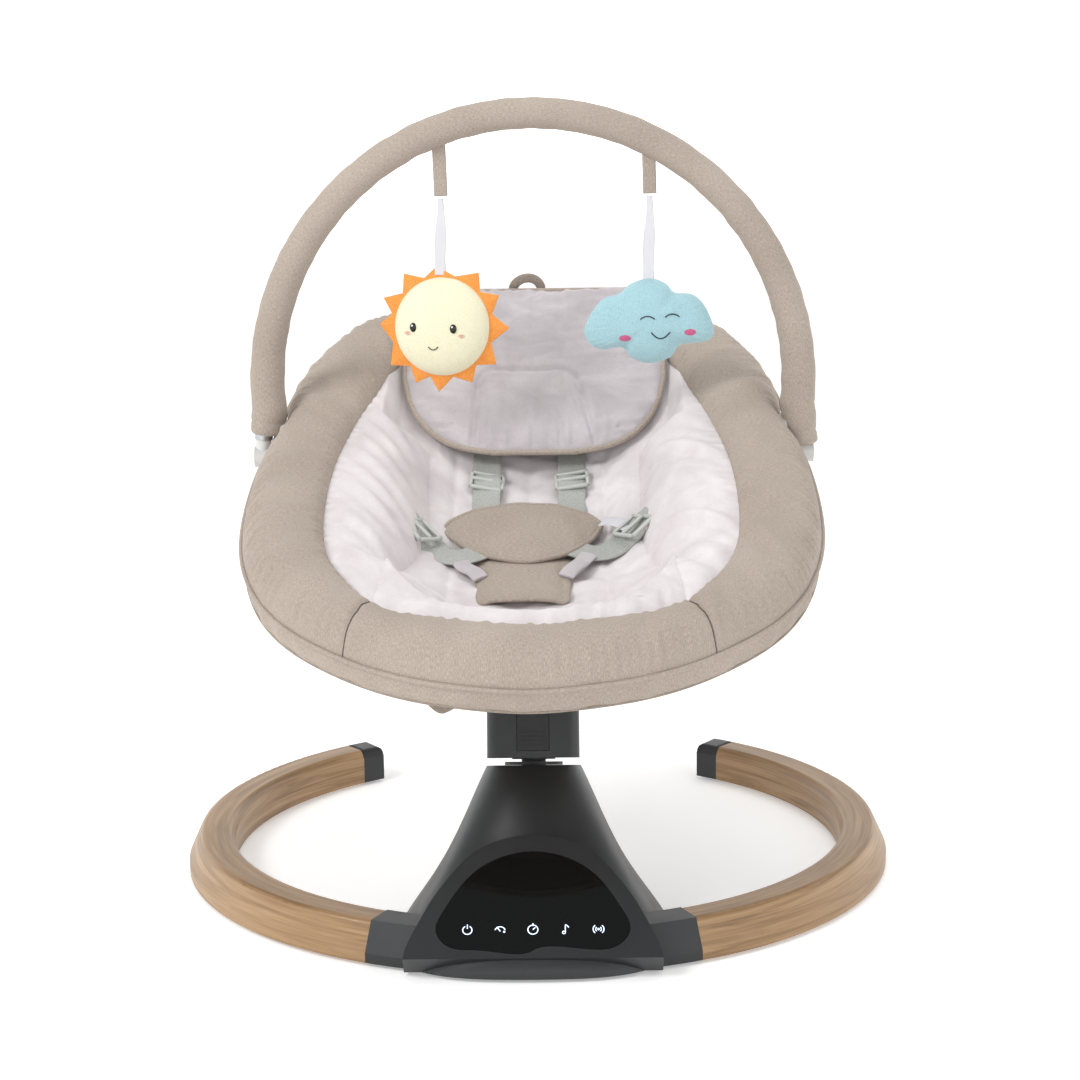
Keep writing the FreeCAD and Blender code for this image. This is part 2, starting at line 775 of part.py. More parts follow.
def cradle_body(label, *radii):
    body = new_body(label)
    spine = new_sketch(body, "XZ_Plane", label + "_path", lift=(0, 0, -CRADLE_Y))
    edges = rounded_path(spine, CRADLE_CORNERS, CRADLE_BEND)
    section = new_sketch(body, "XY_Plane", label + "_section", lift=(0, 0, CRADLE_CORNERS[0][1]))
    for radius in radii:
        circle(section, CRADLE_CORNERS[0][0], CRADLE_Y, radius)
    pipe = body.newObject("PartDesign::AdditivePipe", label + "_pipe")
    pipe.Profile = section
    pipe.Spine = (spine, edges)
    return body


CRADLE_RADIUS = 9
CRADLE_WALL = 1.5
cradle_fill = cradle_body("cradle_fill", CRADLE_RADIUS)
keep(cradle_body("cradle_tube", CRADLE_RADIUS, CRADLE_RADIUS - CRADLE_WALL), "seat")

# Side clamps join the two rim tubes and the cradle tube.
clamp_boxes = []
for side, word in ((-1, "left"), (1, "right")):
    low_x, high_x = sorted((side * 194, side * 225))
    clamp_boxes.append((low_x, high_x))
    clamp = box(f"clamp_block_{word}", (low_x, -142, -24), (high_x, -68, 13))
    keep(cut_by(f"side_clamp_{word}", clamp, tube_fills + [cradle_fill]), "seat")

# Bridge over the neck lug: two cheeks on the recline pin and a saddle for the
# cradle tube, drawn in the upright frame.
tilt = math.radians(D["neck_tilt"])
PIN_Y = D["neck_y"] + D["pin_across"] * math.cos(tilt) + D["pin_up"] * math.sin(tilt)
PIN_Z = D["neck_height"] + D["pin_up"] * math.cos(tilt) - D["pin_across"] * math.sin(tilt)
CHEEK = [(-10, -8), (8, -9), (43, 13), (43, 34), (18, 34.5), (-10, 10)]
bridge = new_body("bridge_blank")
sketch = new_sketch(bridge, "YZ_Plane", "cheek_outline", lift=(0, 0, 19.6))
polygon(sketch, [(PIN_Y + y, PIN_Z + z) for y, z in CHEEK])
pad(bridge, sketch, "right_cheek", 11)
sketch = new_sketch(bridge, "YZ_Plane", "saddle_outline")
polygon(sketch, [(PIN_Y + y, PIN_Z + z) for y, z in ((18, 13.5), (43, 13), (43, 34), (18, 34.5))])
pad(bridge, sketch, "saddle", 61.2, both_ways=True)
sketch = new_sketch(bridge, "YZ_Plane", "left_cheek_outline", lift=(0, 0, -19.6))
polygon(sketch, [(PIN_Y + y, PIN_Z + z) for y, z in CHEEK])
pad(bridge, sketch, "left_cheek", 11, reverse=True)
sketch = new_sketch(bridge, "YZ_Plane", "pin_hole_outline")
circle(sketch, PIN_Y, PIN_Z, "pin_radius + 0.05")
pocket(bridge, sketch, "pin_hole", 80, both_ways=True)
cradle_place = cradle_body("cradle_in_place", CRADLE_RADIUS)
place(cradle_place, 0, 0, "seat_height", "seat_incline")
keep(combine("Cut", "seat_bracket", bridge, cradle_place))


def ellipsoid_half(label, centre, radii):
    """Lower half of an ellipsoid, flat side up."""
    half = doc.addObject("Part::Ellipsoid", label)
    half.Radius1, half.Radius2, half.Radius3 = radii[2], radii[0], radii[1]
    half.Angle1 = -90
    half.Angle2 = 0
    half.Placement.Base = V(*centre)
    return half


SOCKET = [(187, 60, -27.5), (226.5, 86, 12)]
incline = math.radians(D["seat_incline"])
pivot_rise = D["bar_pivot_height"] - D["seat_height"]
PIVOT_ALONG = D["bar_y"] * math.cos(incline) + pivot_rise * math.sin(incline)
PIVOT_UP = pivot_rise * math.cos(incline) - D["bar_y"] * math.sin(incline)
BOSS_END = 236
STUB_END = 252.5
BAR_ROOM = [(222.8, 24, -28), (260, 152, 40)]
CUSHION_PROFILE = [
    (98, -40), (150, -27), (205, -6), (252, 12.6), (335, 13), (341, 19), (335, 25),
    (248, 25), (200, 8), (145, -10), (98, -22),
]
CUSHION_UNDERSIDE = 5


def cushion_body(label, half_width, margin, rise=0):
    """Head cushion, or the room for it: grown by margin, its top raised by rise as well."""
    body = new_body(label)
    sketch = new_sketch(body, "YZ_Plane", label + "_side")
    first_y = CUSHION_PROFILE[0][0]
    moved = []
    for i, (y, z) in enumerate(CUSHION_PROFILE):
        underneath = i < CUSHION_UNDERSIDE
        moved.append((y - 2 * margin if y == first_y else y, z - margin if underneath else z + margin + rise))
    polygon(sketch, moved)
    pad(body, sketch, label + "_block", 2 * half_width, both_ways=True)
    return body


head_room = cushion_body("head_room", 119, 0.6, 40)

# Padded border round the rim, with room for what runs inside it. Its section
# steps in towards the top and the underside.

def border_layer(label, low, high, inset):
    """Layer of the border between two heights, its outline and opening drawn in by inset."""
    layer = new_body(label)
    sketch = new_sketch(layer, "XY_Plane", label + "_outline", lift=(0, 0, low))
    closed_curve(sketch, grown(RIM_OUTLINE, inset))
    closed_curve(sketch, grown(OPENING_OUTLINE, -inset))
    pad(layer, sketch, label + "_band", value(high) - value(low))
    return layer


layers = [border_layer("border_middle", -18, 18, 0)]
layers.append(border_layer("border_top", 18, "border_half_thickness", -9))
layers.append(border_layer("border_under", "-border_half_thickness", -18, -9))
border = combine("MultiFuse", "border_blank", *layers)
rooms = tube_fills + [cradle_fill]
rooms.append(box("cushion_seat_rear", (-119, 255, 12), (119, 360, 40)))
rooms.append(box("cushion_seat_inner", (-119, 190, -13), (119, 255.5, 40)))
for low_x, high_x in clamp_boxes:
    name = f"clamp_room_{'left' if low_x < 0 else 'right'}"
    rooms.append(box(name, (low_x - 0.3, -142.3, -28), (high_x + 0.3, -67.7, 13.3)))
for side, word in ((-1, "left"), (1, "right")):
    low_x, high_x = sorted((side * (SOCKET[0][0] - 0.3), side * 260))
    rooms.append(box(f"socket_room_{word}", (low_x, 59.7, -28), (high_x, 86.3, 12.3)))
    low_x, high_x = sorted((side * BAR_ROOM[0][0], side * BAR_ROOM[1][0]))
    rooms.append(box(f"bar_room_{word}", (low_x, *BAR_ROOM[0][1:]), (high_x, *BAR_ROOM[1][1:])))
keep(cut_by("seat_border", border, rooms), "seat")

for side, word in ((-1, "left"), (1, "right")):
    low_x, high_x = sorted((side * SOCKET[0][0], side * SOCKET[1][0]))
    blank = box(f"socket_block_{word}", (low_x, *SOCKET[0][1:]), (high_x, *SOCKET[1][1:]))
    root = SOCKET[1][0] - 4
    turned = []
    for part_name, radius, end in (("pin", 4, STUB_END), ("boss", 8, BOSS_END)):
        start = min(side * root, side * end)
        where = (start, PIVOT_ALONG, PIVOT_UP)
        turned.append(cylinder(f"socket_{part_name}_{word}", radius, end - root, where, axis="x"))
    whole = combine("MultiFuse", f"socket_whole_{word}", blank, *turned)
    keep(combine("Cut", f"bar_socket_{word}", whole, tube_fills[1]), "seat")

# Cloth bowl under the seat and the padding in it.
BOWL_CENTRE = (0, -8, -28.5)
BOWL = (200, 310, 66)
SITTING_CENTRE = (0, -20, D["pad_top"])
SITTING = (140, 250, 78)
bowl_wall = D["cover_thickness"]
outer_bowl = ellipsoid_half("bowl_outside", BOWL_CENTRE, BOWL)
inner_bowl = ellipsoid_half("bowl_inside", BOWL_CENTRE, [r - bowl_wall for r in BOWL])
keep(combine("Cut", "under_cover", outer_bowl, inner_bowl), "seat")

fill_bowl = ellipsoid_half("bowl_fill", BOWL_CENTRE, [r - bowl_wall - D["soft_gap"] for r in BOWL])
neck_fill = new_body("opening_fill")
sketch = new_sketch(neck_fill, "XY_Plane", "opening_outline", lift=(0, 0, -28.6))
closed_curve(sketch, grown(OPENING_OUTLINE, -0.6))
pad(neck_fill, sketch, "opening_block", "pad_top + 28.6")
padding = combine("MultiFuse", "padding_blank", fill_bowl, neck_fill)
sitting_space = ellipsoid_half("sitting_space", SITTING_CENTRE, SITTING)
hollowed = combine("Cut", "padding_hollowed", padding, sitting_space)
hollowed = combine("Cut", "padding_clear", hollowed, head_room)
PADDING_SPLIT = 89
LIP_Y = -205
gap = D["soft_gap"] / 2
for label, low, high in (
    ("side_bolster_left", (-260, -360, -120), (-PADDING_SPLIT - gap, 360, 40)),
    ("side_bolster_right", (PADDING_SPLIT + gap, -360, -120), (260, 360, 40)),
    ("back_pad", (-PADDING_SPLIT + gap, LIP_Y + gap, -120), (PADDING_SPLIT - gap, 360, 40)),
    ("seat_lip", (-PADDING_SPLIT + gap, -360, -120), (PADDING_SPLIT - gap, LIP_Y - gap, 40)),
):
    keep(combine("MultiCommon", label, hollowed, box(label + "_zone", low, high)), "seat")

keep(cushion_body("head_cushion", 118, 0), "seat")

loop = doc.addObject("Part::Torus", "head_loop")
loop.Label = "head_loop"
loop.Radius1 = 13
loop.Radius2 = 3
loop.Placement = FreeCAD.Placement(V(-8, 348.6, 20), FreeCAD.Rotation(V(1, 0, 0), 90))
keep(loop, "seat")


def padding_height(x, y):
    """Height of the sitting surface below the rim at (x, y)."""
    centre, radii = SITTING_CENTRE, SITTING
    inside = 1 - ((x - centre[0]) / radii[0]) ** 2 - ((y - centre[1]) / radii[1]) ** 2
    return centre[2] - radii[2] * math.sqrt(inside)


def laid_box(label, x, y, lift, size, turn=0):
    """Flat box lying on the padding at (x, y), its underside lift above it, turned in its own plane."""
    step = 1.0
    slope_x = (padding_height(x + step, y) - padding_height(x - step, y)) / (2 * step)
    slope_y = (padding_height(x, y + step) - padding_height(x, y - step)) / (2 * step)
    normal = V(-slope_x, -slope_y, 1)
    part = box(label, (0, 0, 0), size)
    spin = FreeCAD.Rotation(V(0, 0, 1), turn)
    tilt = FreeCAD.Rotation(V(0, 0, 1), normal)
    rotation = tilt.multiply(spin)
    foot = V(x, y, padding_height(x, y)) + normal.normalize() * lift
    part.Placement = FreeCAD.Placement(foot - rotation.multVec(V(size[0] / 2, size[1] / 2, 0)), rotation)
    return part


strap = (D["webbing_width"], D["webbing_thickness"])
for side, word in ((-1, "left"), (1, "right")):
    keep(laid_box(f"shoulder_strap_{word}", side * 40, 80, 3.2, (strap[0], 84, strap[1])), "seat")
    waist_size = (40, strap[0], strap[1])
    keep(laid_box(f"waist_strap_{word}", side * 84, -54, 4.5, waist_size, turn=side * 42), "seat")
adjusters = []
for side in (-1, 1):
    adjusters.append(laid_box(f"shoulder_adjuster_{side}", side * 40, 76, 5.7, (30, 22, 5)))
    adjusters.append(laid_box(f"waist_adjuster_{side}", side * 84, -54, 7.0, (22, 30, 5), turn=side * 42))
slides = combine("Compound", "strap_adjusters", *adjusters)
keep(slides, "seat")
keep(laid_box("crotch_pad", 0, -99, 7, (84, 74, 8)), "seat")
keep(laid_box("crotch_flap", 0, -12, 15, (116, 92, 7)), "seat")


# -------------------------------------------------------------- the toy bar
def bar_path(sketch, start_height):
    """Two flared legs and a half round top, drawn from the front."""
    flare = math.radians(D["bar_flare"])
    radius = D["bar_radius"]
    centre = D["bar_centre_height"]
    x_end = radius * math.cos(flare)
    z_end = centre + radius * math.sin(flare)
    x_low = x_end + (z_end - start_height) * math.tan(flare)
    sketch.addGeometry(Part.LineSegment(V(x_low, start_height, 0), V(x_end, z_end, 0)))
    arc = Part.Arc(V(x_end, z_end, 0), V(0, centre + radius, 0), V(-x_end, z_end, 0))
    sketch.addGeometry(arc)
    sketch.addGeometry(Part.LineSegment(V(-x_end, z_end, 0), V(-x_low, start_height, 0)))
    return x_low


def bar_sweep(label, start_height, outer, inner):
    body = new_body(label)
    spine = new_sketch(body, "XZ_Plane", label + "_path", lift=(0, 0, "-bar_y"))
    x_low = bar_path(spine, start_height)
    section = new_sketch(
        body, "XY_Plane", label + "_section",
        lift=(x_low, "bar_y", start_height), turn=((0, 1, 0), -D["bar_flare"]),
    )
    circle(section, 0, 0, outer)
    circle(section, 0, 0, inner)
    pipe = body.newObject("PartDesign::AdditivePipe", label + "_pipe")
    pipe.Profile = section
    pipe.Spine = (spine, ["Edge1", "Edge2", "Edge3"])
    return body, x_low


tube, _ = bar_sweep("bar_tube", 366, "bar_tube_radius", "bar_tube_radius - bar_tube_wall")
keep(tube)
sleeve, _ = bar_sweep("bar_sleeve", D["sleeve_bottom_height"], "sleeve_radius", "bar_tube_radius + soft_gap")
keep(sleeve)
for side, word in ((-1, "left"), (1, "right")):
    flare = math.radians(D["bar_flare"])
    leg_x = D["bar_radius"] * math.cos(flare)
    arc_end = D["bar_centre_height"] + D["bar_radius"] * math.sin(flare)
    leg_x += (arc_end - D["bar_pivot_height"]) * math.tan(flare)
    hub = cylinder(f"foot_hub_{word}", 9.5, 14, (side * 244.5 - 7, "bar_y", "bar_pivot_height"), axis="x")
    lean = FreeCAD.Rotation(V(0, 1, 0), -side * D["bar_flare"])
    stem = cylinder(f"foot_stem_{word}", 6.9, 15.8, (0, 0, 0))
    stem.Placement = FreeCAD.Placement(V(side * leg_x, D["bar_y"], D["bar_pivot_height"]), lean)
    spigot = cylinder(f"foot_spigot_{word}", "bar_tube_radius - bar_tube_wall - fit_gap", 38, (0, 0, 0))
    spigot.Placement = FreeCAD.Placement(V(side * leg_x, D["bar_y"], D["bar_pivot_height"]), lean)
    whole = combine("MultiFuse", f"foot_whole_{word}", hub, stem, spigot)
    hole = cylinder(f"foot_hole_{word}", 4.05, 20, (side * 244.5 - 10, "bar_y", "bar_pivot_height"), axis="x")
    keep(combine("Cut", f"bar_foot_{word}", whole, hole))


def sleeve_underside(x):
    reach = D["bar_radius"] - D["sleeve_radius"] - 0.3
    return D["bar_centre_height"] + math.sqrt(reach ** 2 - x ** 2)


RIBBON_HALF_WIDTH = 4
TAB_HALF_WIDTH = 6
for name, x in (("sun", D["sun_x"]), ("cloud", D["cloud_x"])):
    top = sleeve_underside(abs(x) + TAB_HALF_WIDTH)
    low = (x - TAB_HALF_WIDTH, D["bar_y"] - 1.5, D["toy_pivot_height"] + 2)
    keep(box(f"{name}_tab", low, (x + TAB_HALF_WIDTH, D["bar_y"] + 1.5, top)))

SUN_RADIUS = 55
CLOUD_OUTLINE = [
    (-57, -4), (-50, 14), (-34, 18), (-20, 32), (2, 38), (22, 30), (30, 20), (46, 14), (57, 1),
    (52, -14), (38, -20), (24, -31), (4, -38), (-14, -34), (-26, -26), (-44, -20),
]
sun = cylinder("sun_toy", SUN_RADIUS, 32, ("sun_x", "bar_y - 16", "sun_height"), axis="y")
keep(sun)
cloud = new_body("cloud_toy")
sketch = new_sketch(cloud, "XZ_Plane", "cloud_outline", lift=("cloud_x", "cloud_height", "-bar_y"))
closed_curve(sketch, CLOUD_OUTLINE)
pad(cloud, sketch, "cloud_body", 34, both_ways=True)
keep(cloud)
CLOUD_TOP = 38.5
for name, x, low in (
    ("sun", D["sun_x"], D["sun_height"] + SUN_RADIUS + 0.3),
    ("cloud", D["cloud_x"], D["cloud_height"] + CLOUD_TOP),
):
    strip_low = (x - RIBBON_HALF_WIDTH, D["bar_y"] - 0.6, low)
    strip = box(f"{name}_strip", strip_low, (x + RIBBON_HALF_WIDTH, D["bar_y"] + 0.6, D["toy_pivot_height"]))
    hang_place = (x - RIBBON_HALF_WIDTH, "bar_y", "toy_pivot_height")
    hang_bar = cylinder(f"{name}_hang_bar", 1.4, 2 * RIBBON_HALF_WIDTH, hang_place, axis="x")
    keep(combine("MultiFuse", f"{name}_ribbon", strip, hang_bar))


# ------------------------------------------------------------------- screws
screws = []
for side in (-1, 1):
    for angle in SCREW_ANGLES:
        x, y = ring_place(side, angle)
        head = cylinder(f"screw_head_{side}_{angle}", 4.2, 2, (x, y, 0.8))
        stem = cylinder(f"screw_stem_{side}_{angle}", SCREW_RADIUS, SCREW_REACH, (x, y, 2.6))
        screws.append(combine("MultiFuse", f"screw_{side}_{angle}", head, stem))
keep(combine("Compound", "base_screws", *screws))

# -------------------------------------------------------------- check, write
doc.recompute()
for thing in doc.Objects:
    if "Invalid" in thing.State or "Error" in thing.State:
        raise RuntimeError(f"{thing.Label} failed: {thing.State}")
for node in nodes:
    if node.Shape.isNull() or not node.Shape.isValid() or not node.Shape.Solids:
        raise RuntimeError(f"{node.Label} has no valid solid")
for node in nodes:
    node.Shape.exportStep(os.path.join("parts", node.Label + ".step"))
print(len(nodes), "nodes written")
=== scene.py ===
import bpy
import math
import numpy as np
from mathutils import Matrix, Vector


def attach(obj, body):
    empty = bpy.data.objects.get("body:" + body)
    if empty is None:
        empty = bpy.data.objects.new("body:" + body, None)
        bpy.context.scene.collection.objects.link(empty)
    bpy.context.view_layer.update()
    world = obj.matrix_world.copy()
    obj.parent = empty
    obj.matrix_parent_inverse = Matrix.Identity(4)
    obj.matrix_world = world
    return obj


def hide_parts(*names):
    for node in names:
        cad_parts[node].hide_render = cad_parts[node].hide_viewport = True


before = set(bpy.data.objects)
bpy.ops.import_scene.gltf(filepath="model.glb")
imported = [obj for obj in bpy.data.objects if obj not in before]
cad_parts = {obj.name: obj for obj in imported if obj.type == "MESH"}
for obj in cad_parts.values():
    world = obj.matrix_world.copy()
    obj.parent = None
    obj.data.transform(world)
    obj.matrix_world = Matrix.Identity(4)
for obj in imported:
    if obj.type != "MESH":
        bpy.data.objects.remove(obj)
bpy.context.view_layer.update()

scene = bpy.context.scene
scene.view_settings.view_transform = "Standard"
mm = 0.001


# colours, nodes and meshes
def toLinear(hexColour):
    channels = np.array([int(hexColour[i:i + 2], 16) for i in (1, 3, 5)]) / 255
    linear = np.where(channels <= 0.04045, channels / 12.92, ((channels + 0.055) / 1.055) ** 2.4)
    return (*linear.tolist(), 1.0)


def addNode(tree, kind, settings=None, sockets=None):
    # a node with its settings; a socket given another node's socket is linked, any other value is set
    node = tree.nodes.new(kind)
    for key, value in (settings or {}).items():
        setattr(node, key, value)
    for key, value in (sockets or {}).items():
        if isinstance(value, bpy.types.NodeSocket):
            tree.links.new(value, node.inputs[key])
        else:
            node.inputs[key].default_value = value
    return node


def newMaterial(name, sockets):
    material = bpy.data.materials.new(name)
    material.use_nodes = True
    tree = material.node_tree
    tree.nodes.clear()
    shader = addNode(tree, "ShaderNodeBsdfPrincipled", None, sockets)
    addNode(tree, "ShaderNodeOutputMaterial", None, {"Surface": shader.outputs["BSDF"]})
    material.diffuse_color = shader.inputs["Base Color"].default_value
    return material, tree, shader


def ramp(tree, factor, stops, interpolation="LINEAR"):
    # colour ramp from (place, hex colour) stops
    node = addNode(tree, "ShaderNodeValToRGB", None, {"Fac": factor})
    node.color_ramp.interpolation = interpolation
    elements = node.color_ramp.elements
    while len(elements) < len(stops):
        elements.new(0.5)
    for element, (place, colour) in zip(elements, stops):
        element.position = place
        element.color = toLinear(colour)
    return node.outputs["Color"]


def gridMesh(name, points, closeRows=False, closeColumns=False, capRows=False, uv=None):
    # faces between neighbouring points of a rows x columns x 3 grid, in millimetres
    rows, columns = points.shape[:2]
    index = np.arange(rows * columns).reshape(rows, columns)
    if closeRows:
        index = np.vstack([index, index[:1]])
    if closeColumns:
        index = np.hstack([index, index[:, :1]])
    quads = np.stack([index[:-1, :-1], index[1:, :-1], index[1:, 1:], index[:-1, 1:]], axis=-1).reshape(-1,
                                                                                                        4)
    vertices = points.reshape(-1, 3)
    faces = [tuple(q) for q in quads.tolist()]
    uvs = None
    if uv is not None:
        corner = np.stack([uv[:-1, :-1], uv[1:, :-1], uv[1:, 1:], uv[:-1, 1:]], axis=2).reshape(-1, 2)
        uvs = corner
    if capRows:
        # each open end closes on its own middle point
        for row, turn in ((0, 1), (rows - 1, -1)):
            ring = index[row]
            middle = len(vertices)
            vertices = np.vstack([vertices, points[row].mean(0)])
            for a, b in zip(ring[:-1].tolist(), ring[1:].tolist()):
                faces.append((a, b, middle) if turn > 0 else (b, a, middle))
    return meshObject(name, vertices, faces, uvs)


def meshObject(name, vertices, faces, uvs=None):
    # a smooth mesh whose faces point outwards: a negative volume turns them all round
    vertices = np.asarray(vertices, float) * mm
    mesh = bpy.data.meshes.new(name)
    volume = signedVolume(vertices, faces)
    if volume < 0:
        faces = [tuple(reversed(f)) for f in faces]
    mesh.from_pydata(vertices.tolist(), [], faces)
    if uvs is not None:
        if volume < 0:
            uvs = reversedCorners(uvs)
        layer = mesh.uv_layers.new(name="UVMap")
        full = np.zeros((len(mesh.loops), 2))
        full[:len(uvs)] = uvs
        layer.data.foreach_set("uv", full.ravel())
    mesh.shade_smooth()
    mesh.update()
    piece = bpy.data.objects.new(name, mesh)
    scene.collection.objects.link(piece)
    return piece


def reversedCorners(uvs):
    # the corner order of every leading four-sided face turned round
    count = len(uvs) // 4
    return uvs[:count * 4].reshape(count, 4, 2)[:, ::-1].reshape(-1, 2)


def signedVolume(vertices, faces):
    # sum of the signed tetrahedra between the origin of the piece and each face's fan
    middle = vertices.mean(0)
    shifted = vertices - middle
    total = 0.0
    for size in (3, 4):
        some = np.array([f for f in faces if len(f) == size])
        if len(some):
            a = shifted[some[:, 0]]
            for k in range(1, size - 1):
                total += np.einsum("ij,ij->", a, np.cross(shifted[some[:, k]], shifted[some[:, k + 1]]))
    return total / 6


def pillowMesh(name, top, bottom, uv=None):
    # a closed pad from two grids that share their outer edge
    rows, columns = top.shape[:2]
    upper = np.arange(rows * columns).reshape(rows, columns)
    lower = upper.copy()
    inner = np.arange((rows - 2) * (columns - 2)).reshape(rows - 2, columns - 2) + rows * columns
    lower[1:-1, 1:-1] = inner
    vertices = np.vstack([top.reshape(-1, 3), bottom[1:-1, 1:-1].reshape(-1, 3)])
    quads = []
    for grid, flip in ((upper, False), (lower, True)):
        q = np.stack([grid[:-1, :-1], grid[1:, :-1], grid[1:, 1:], grid[:-1, 1:]], axis=-1).reshape(-1, 4)
        quads.append(q[:, ::-1] if flip else q)
    faces = [tuple(q) for q in np.vstack(quads).tolist()]
    uvs = None
    if uv is not None:
        corner = np.stack([uv[:-1, :-1], uv[1:, :-1], uv[1:, 1:], uv[:-1, 1:]], axis=2).reshape(-1, 4, 2)
        uvs = np.vstack([corner.reshape(-1, 2), corner[:, ::-1].reshape(-1, 2)])
    return meshObject(name, vertices, faces, uvs)


def unit(vectors):
    return vectors / np.maximum(np.linalg.norm(vectors, axis=-1, keepdims=True), 1e-9)


def smoothCurve(points, count, closed=False):
    # Catmull-Rom curve through the points, resampled evenly by length
    points = np.asarray(points, float)
    if closed:
        padded = np.vstack([points[-1:], points, points[:2]])
    else:
        padded = np.vstack([2 * points[:1] - points[1:2], points, 2 * points[-1:] - points[-2:-1]])
    t = np.linspace(0, 1, 24, endpoint=False)[:, None]
    spans = []
    for p0, p1, p2, p3 in zip(padded[:-3], padded[1:-2], padded[2:-1], padded[3:]):
        spans.append(0.5 * (2 * p1 + (p2 - p0) * t + (2 * p0 - 5 * p1 + 4 * p2 - p3) * t ** 2
                            + (3 * p1 - p0 - 3 * p2 + p3) * t ** 3))
    line = np.vstack(spans + [points[:1] if closed else points[-1:]])
    length = np.concatenate([[0], np.cumsum(np.linalg.norm(np.diff(line, axis=0), axis=1))])
    want = np.linspace(0, length[-1], count + 1 if closed else count)
    even = np.stack([np.interp(want, length, line[:, k]) for k in range(line.shape[1])], axis=1)
    return even[:-1] if closed else even


def pathFrames(path, up):
    # tangent, side and lift directions along a path, the lift kept near up
    tangent = unit(np.gradient(path, axis=0))
    up = np.broadcast_to(np.asarray(up, float), path.shape)
    side = unit(np.cross(tangent, up))
    return tangent, side, np.cross(side, tangent)


def sweep(name, path, section, up=(0, 0, 1), scale=None, closed=False, turn=None):
    # a closed section (side, lift) carried along a path; uv runs along the path and round the section in
    # metres
    path = np.asarray(path, float)
    if closed:
        ends = np.vstack([path[-1:], path, path[:1]])
        tangent = unit(np.gradient(ends, axis=0))[1:-1]
        side = unit(np.cross(tangent, np.broadcast_to(np.asarray(up, float), path.shape)))
        lift = np.cross(side, tangent)
    else:
        tangent, side, lift = pathFrames(path, up)
    section = np.asarray(section, float)
    scale = np.ones(len(path)) if scale is None else np.asarray(scale, float)
    turn = np.zeros(len(path)) if turn is None else np.asarray(turn, float)
    c, s = np.cos(turn)[:, None], np.sin(turn)[:, None]
    across = section[None, :, 0] * c - section[None, :, 1] * s
    rise = section[None, :, 0] * s + section[None, :, 1] * c
    points = path[:, None] + scale[:, None, None] * (across[..., None] * side[:, None]
                                                     + rise[..., None] * lift[:, None])
    along = np.concatenate([[0], np.cumsum(np.linalg.norm(np.diff(path, axis=0), axis=1))])
    if closed:
        along = np.append(along, along[-1] + np.linalg.norm(path[0] - path[-1]))
    around = np.concatenate([[0], np.cumsum(np.linalg.norm(np.diff(np.vstack([section, section[:1]]),
                                                                   axis=0), axis=1))])
    uv = np.stack(np.meshgrid(along, around, indexing="ij"), axis=-1) * mm
    return gridMesh(name, points, closeRows=closed, closeColumns=True, capRows=not closed, uv=uv)


def ellipseSection(width, height, count=16, squareness=2.0):
    angle = np.arange(count) * 2 * math.pi / count
    c, s = np.cos(angle), np.sin(angle)
    reach = (np.abs(c) ** squareness + np.abs(s) ** squareness) ** (-1 / squareness)
    return np.stack([width / 2 * reach * c, height / 2 * reach * s], axis=1)


def waves(values, seed, lowest, highest, count):
    # sum of sines of random pitch and phase, about 1 high; the pitch is in cycles per unit of values
    rng = np.random.default_rng(seed)
    total = np.zeros_like(np.asarray(values, float))
    for _ in range(count):
        pitch = rng.uniform(lowest, highest)
        total += np.sin(2 * math.pi * (pitch * values + rng.uniform()))
    return total / math.sqrt(count)


def bump(x, middle, width):
    return np.exp(-((x - middle) / width) ** 2)


def finishPiece(piece, body, material, replaced=()):
    piece.data.materials.clear()
    piece.data.materials.append(material)
    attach(piece, body)
    if replaced:
        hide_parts(*replaced)
    return piece


# the seat's own directions: x across, v up the incline to the head, w square to the rim
seat = {"incline": math.radians(18.4), "height": 345.0}


def seatPoint(u, v, w):
    u, v, w = np.broadcast_arrays(np.asarray(u, float), np.asarray(v, float), np.asarray(w, float))
    c, s = math.cos(seat["incline"]), math.sin(seat["incline"])
    return np.stack([u, v * c - w * s, seat["height"] + v * s + w * c], axis=-1)


def bothSides(half):
    return np.array(half + [(-x, y) for x, y in reversed(half) if x > 0.5], float)


rimOutline = bothSides([(0, -343), (60, -334), (108, -317), (150, -290), (190, -252), (218, -207),
                        (236, -150), (243, -85), (241, 0), (231, 80), (222, 160), (205, 225), (175, 283),
                        (125, 322), (62, 340), (0, 345)])
openingOutline = bothSides([(0, -281), (57, -273), (111, -256), (148, -205), (168, -150), (174, -80),
                            (171, 0), (158, 80), (143, 140), (132, 190), (116, 230), (86, 257), (45, 268),
                            (0, 271)])


def reachOf(outline, angle):
    # distance of an outline from the seat's middle in each direction, 0 at the foot end, turning towards +x
    dense = smoothCurve(outline, 900, closed=True)
    place = np.arctan2(dense[:, 0], -dense[:, 1])
    order = np.argsort(place)
    return np.interp(angle, place[order], np.hypot(*dense.T)[order], period=2 * math.pi)


def outlinePoint(reach, angle):
    return reach * np.sin(angle), -reach * np.cos(angle)


def sittingDepth(u, v):
    # lower half of an ellipsoid, 140 x 250 x 78 mm, its rim 8 mm above the seat's rim
    inside = 1 - (np.asarray(u, float) / 140) ** 2 - ((np.asarray(v, float) + 20) / 250) ** 2
    return 8 - 78 * np.sqrt(np.clip(inside, 0.0, 1))


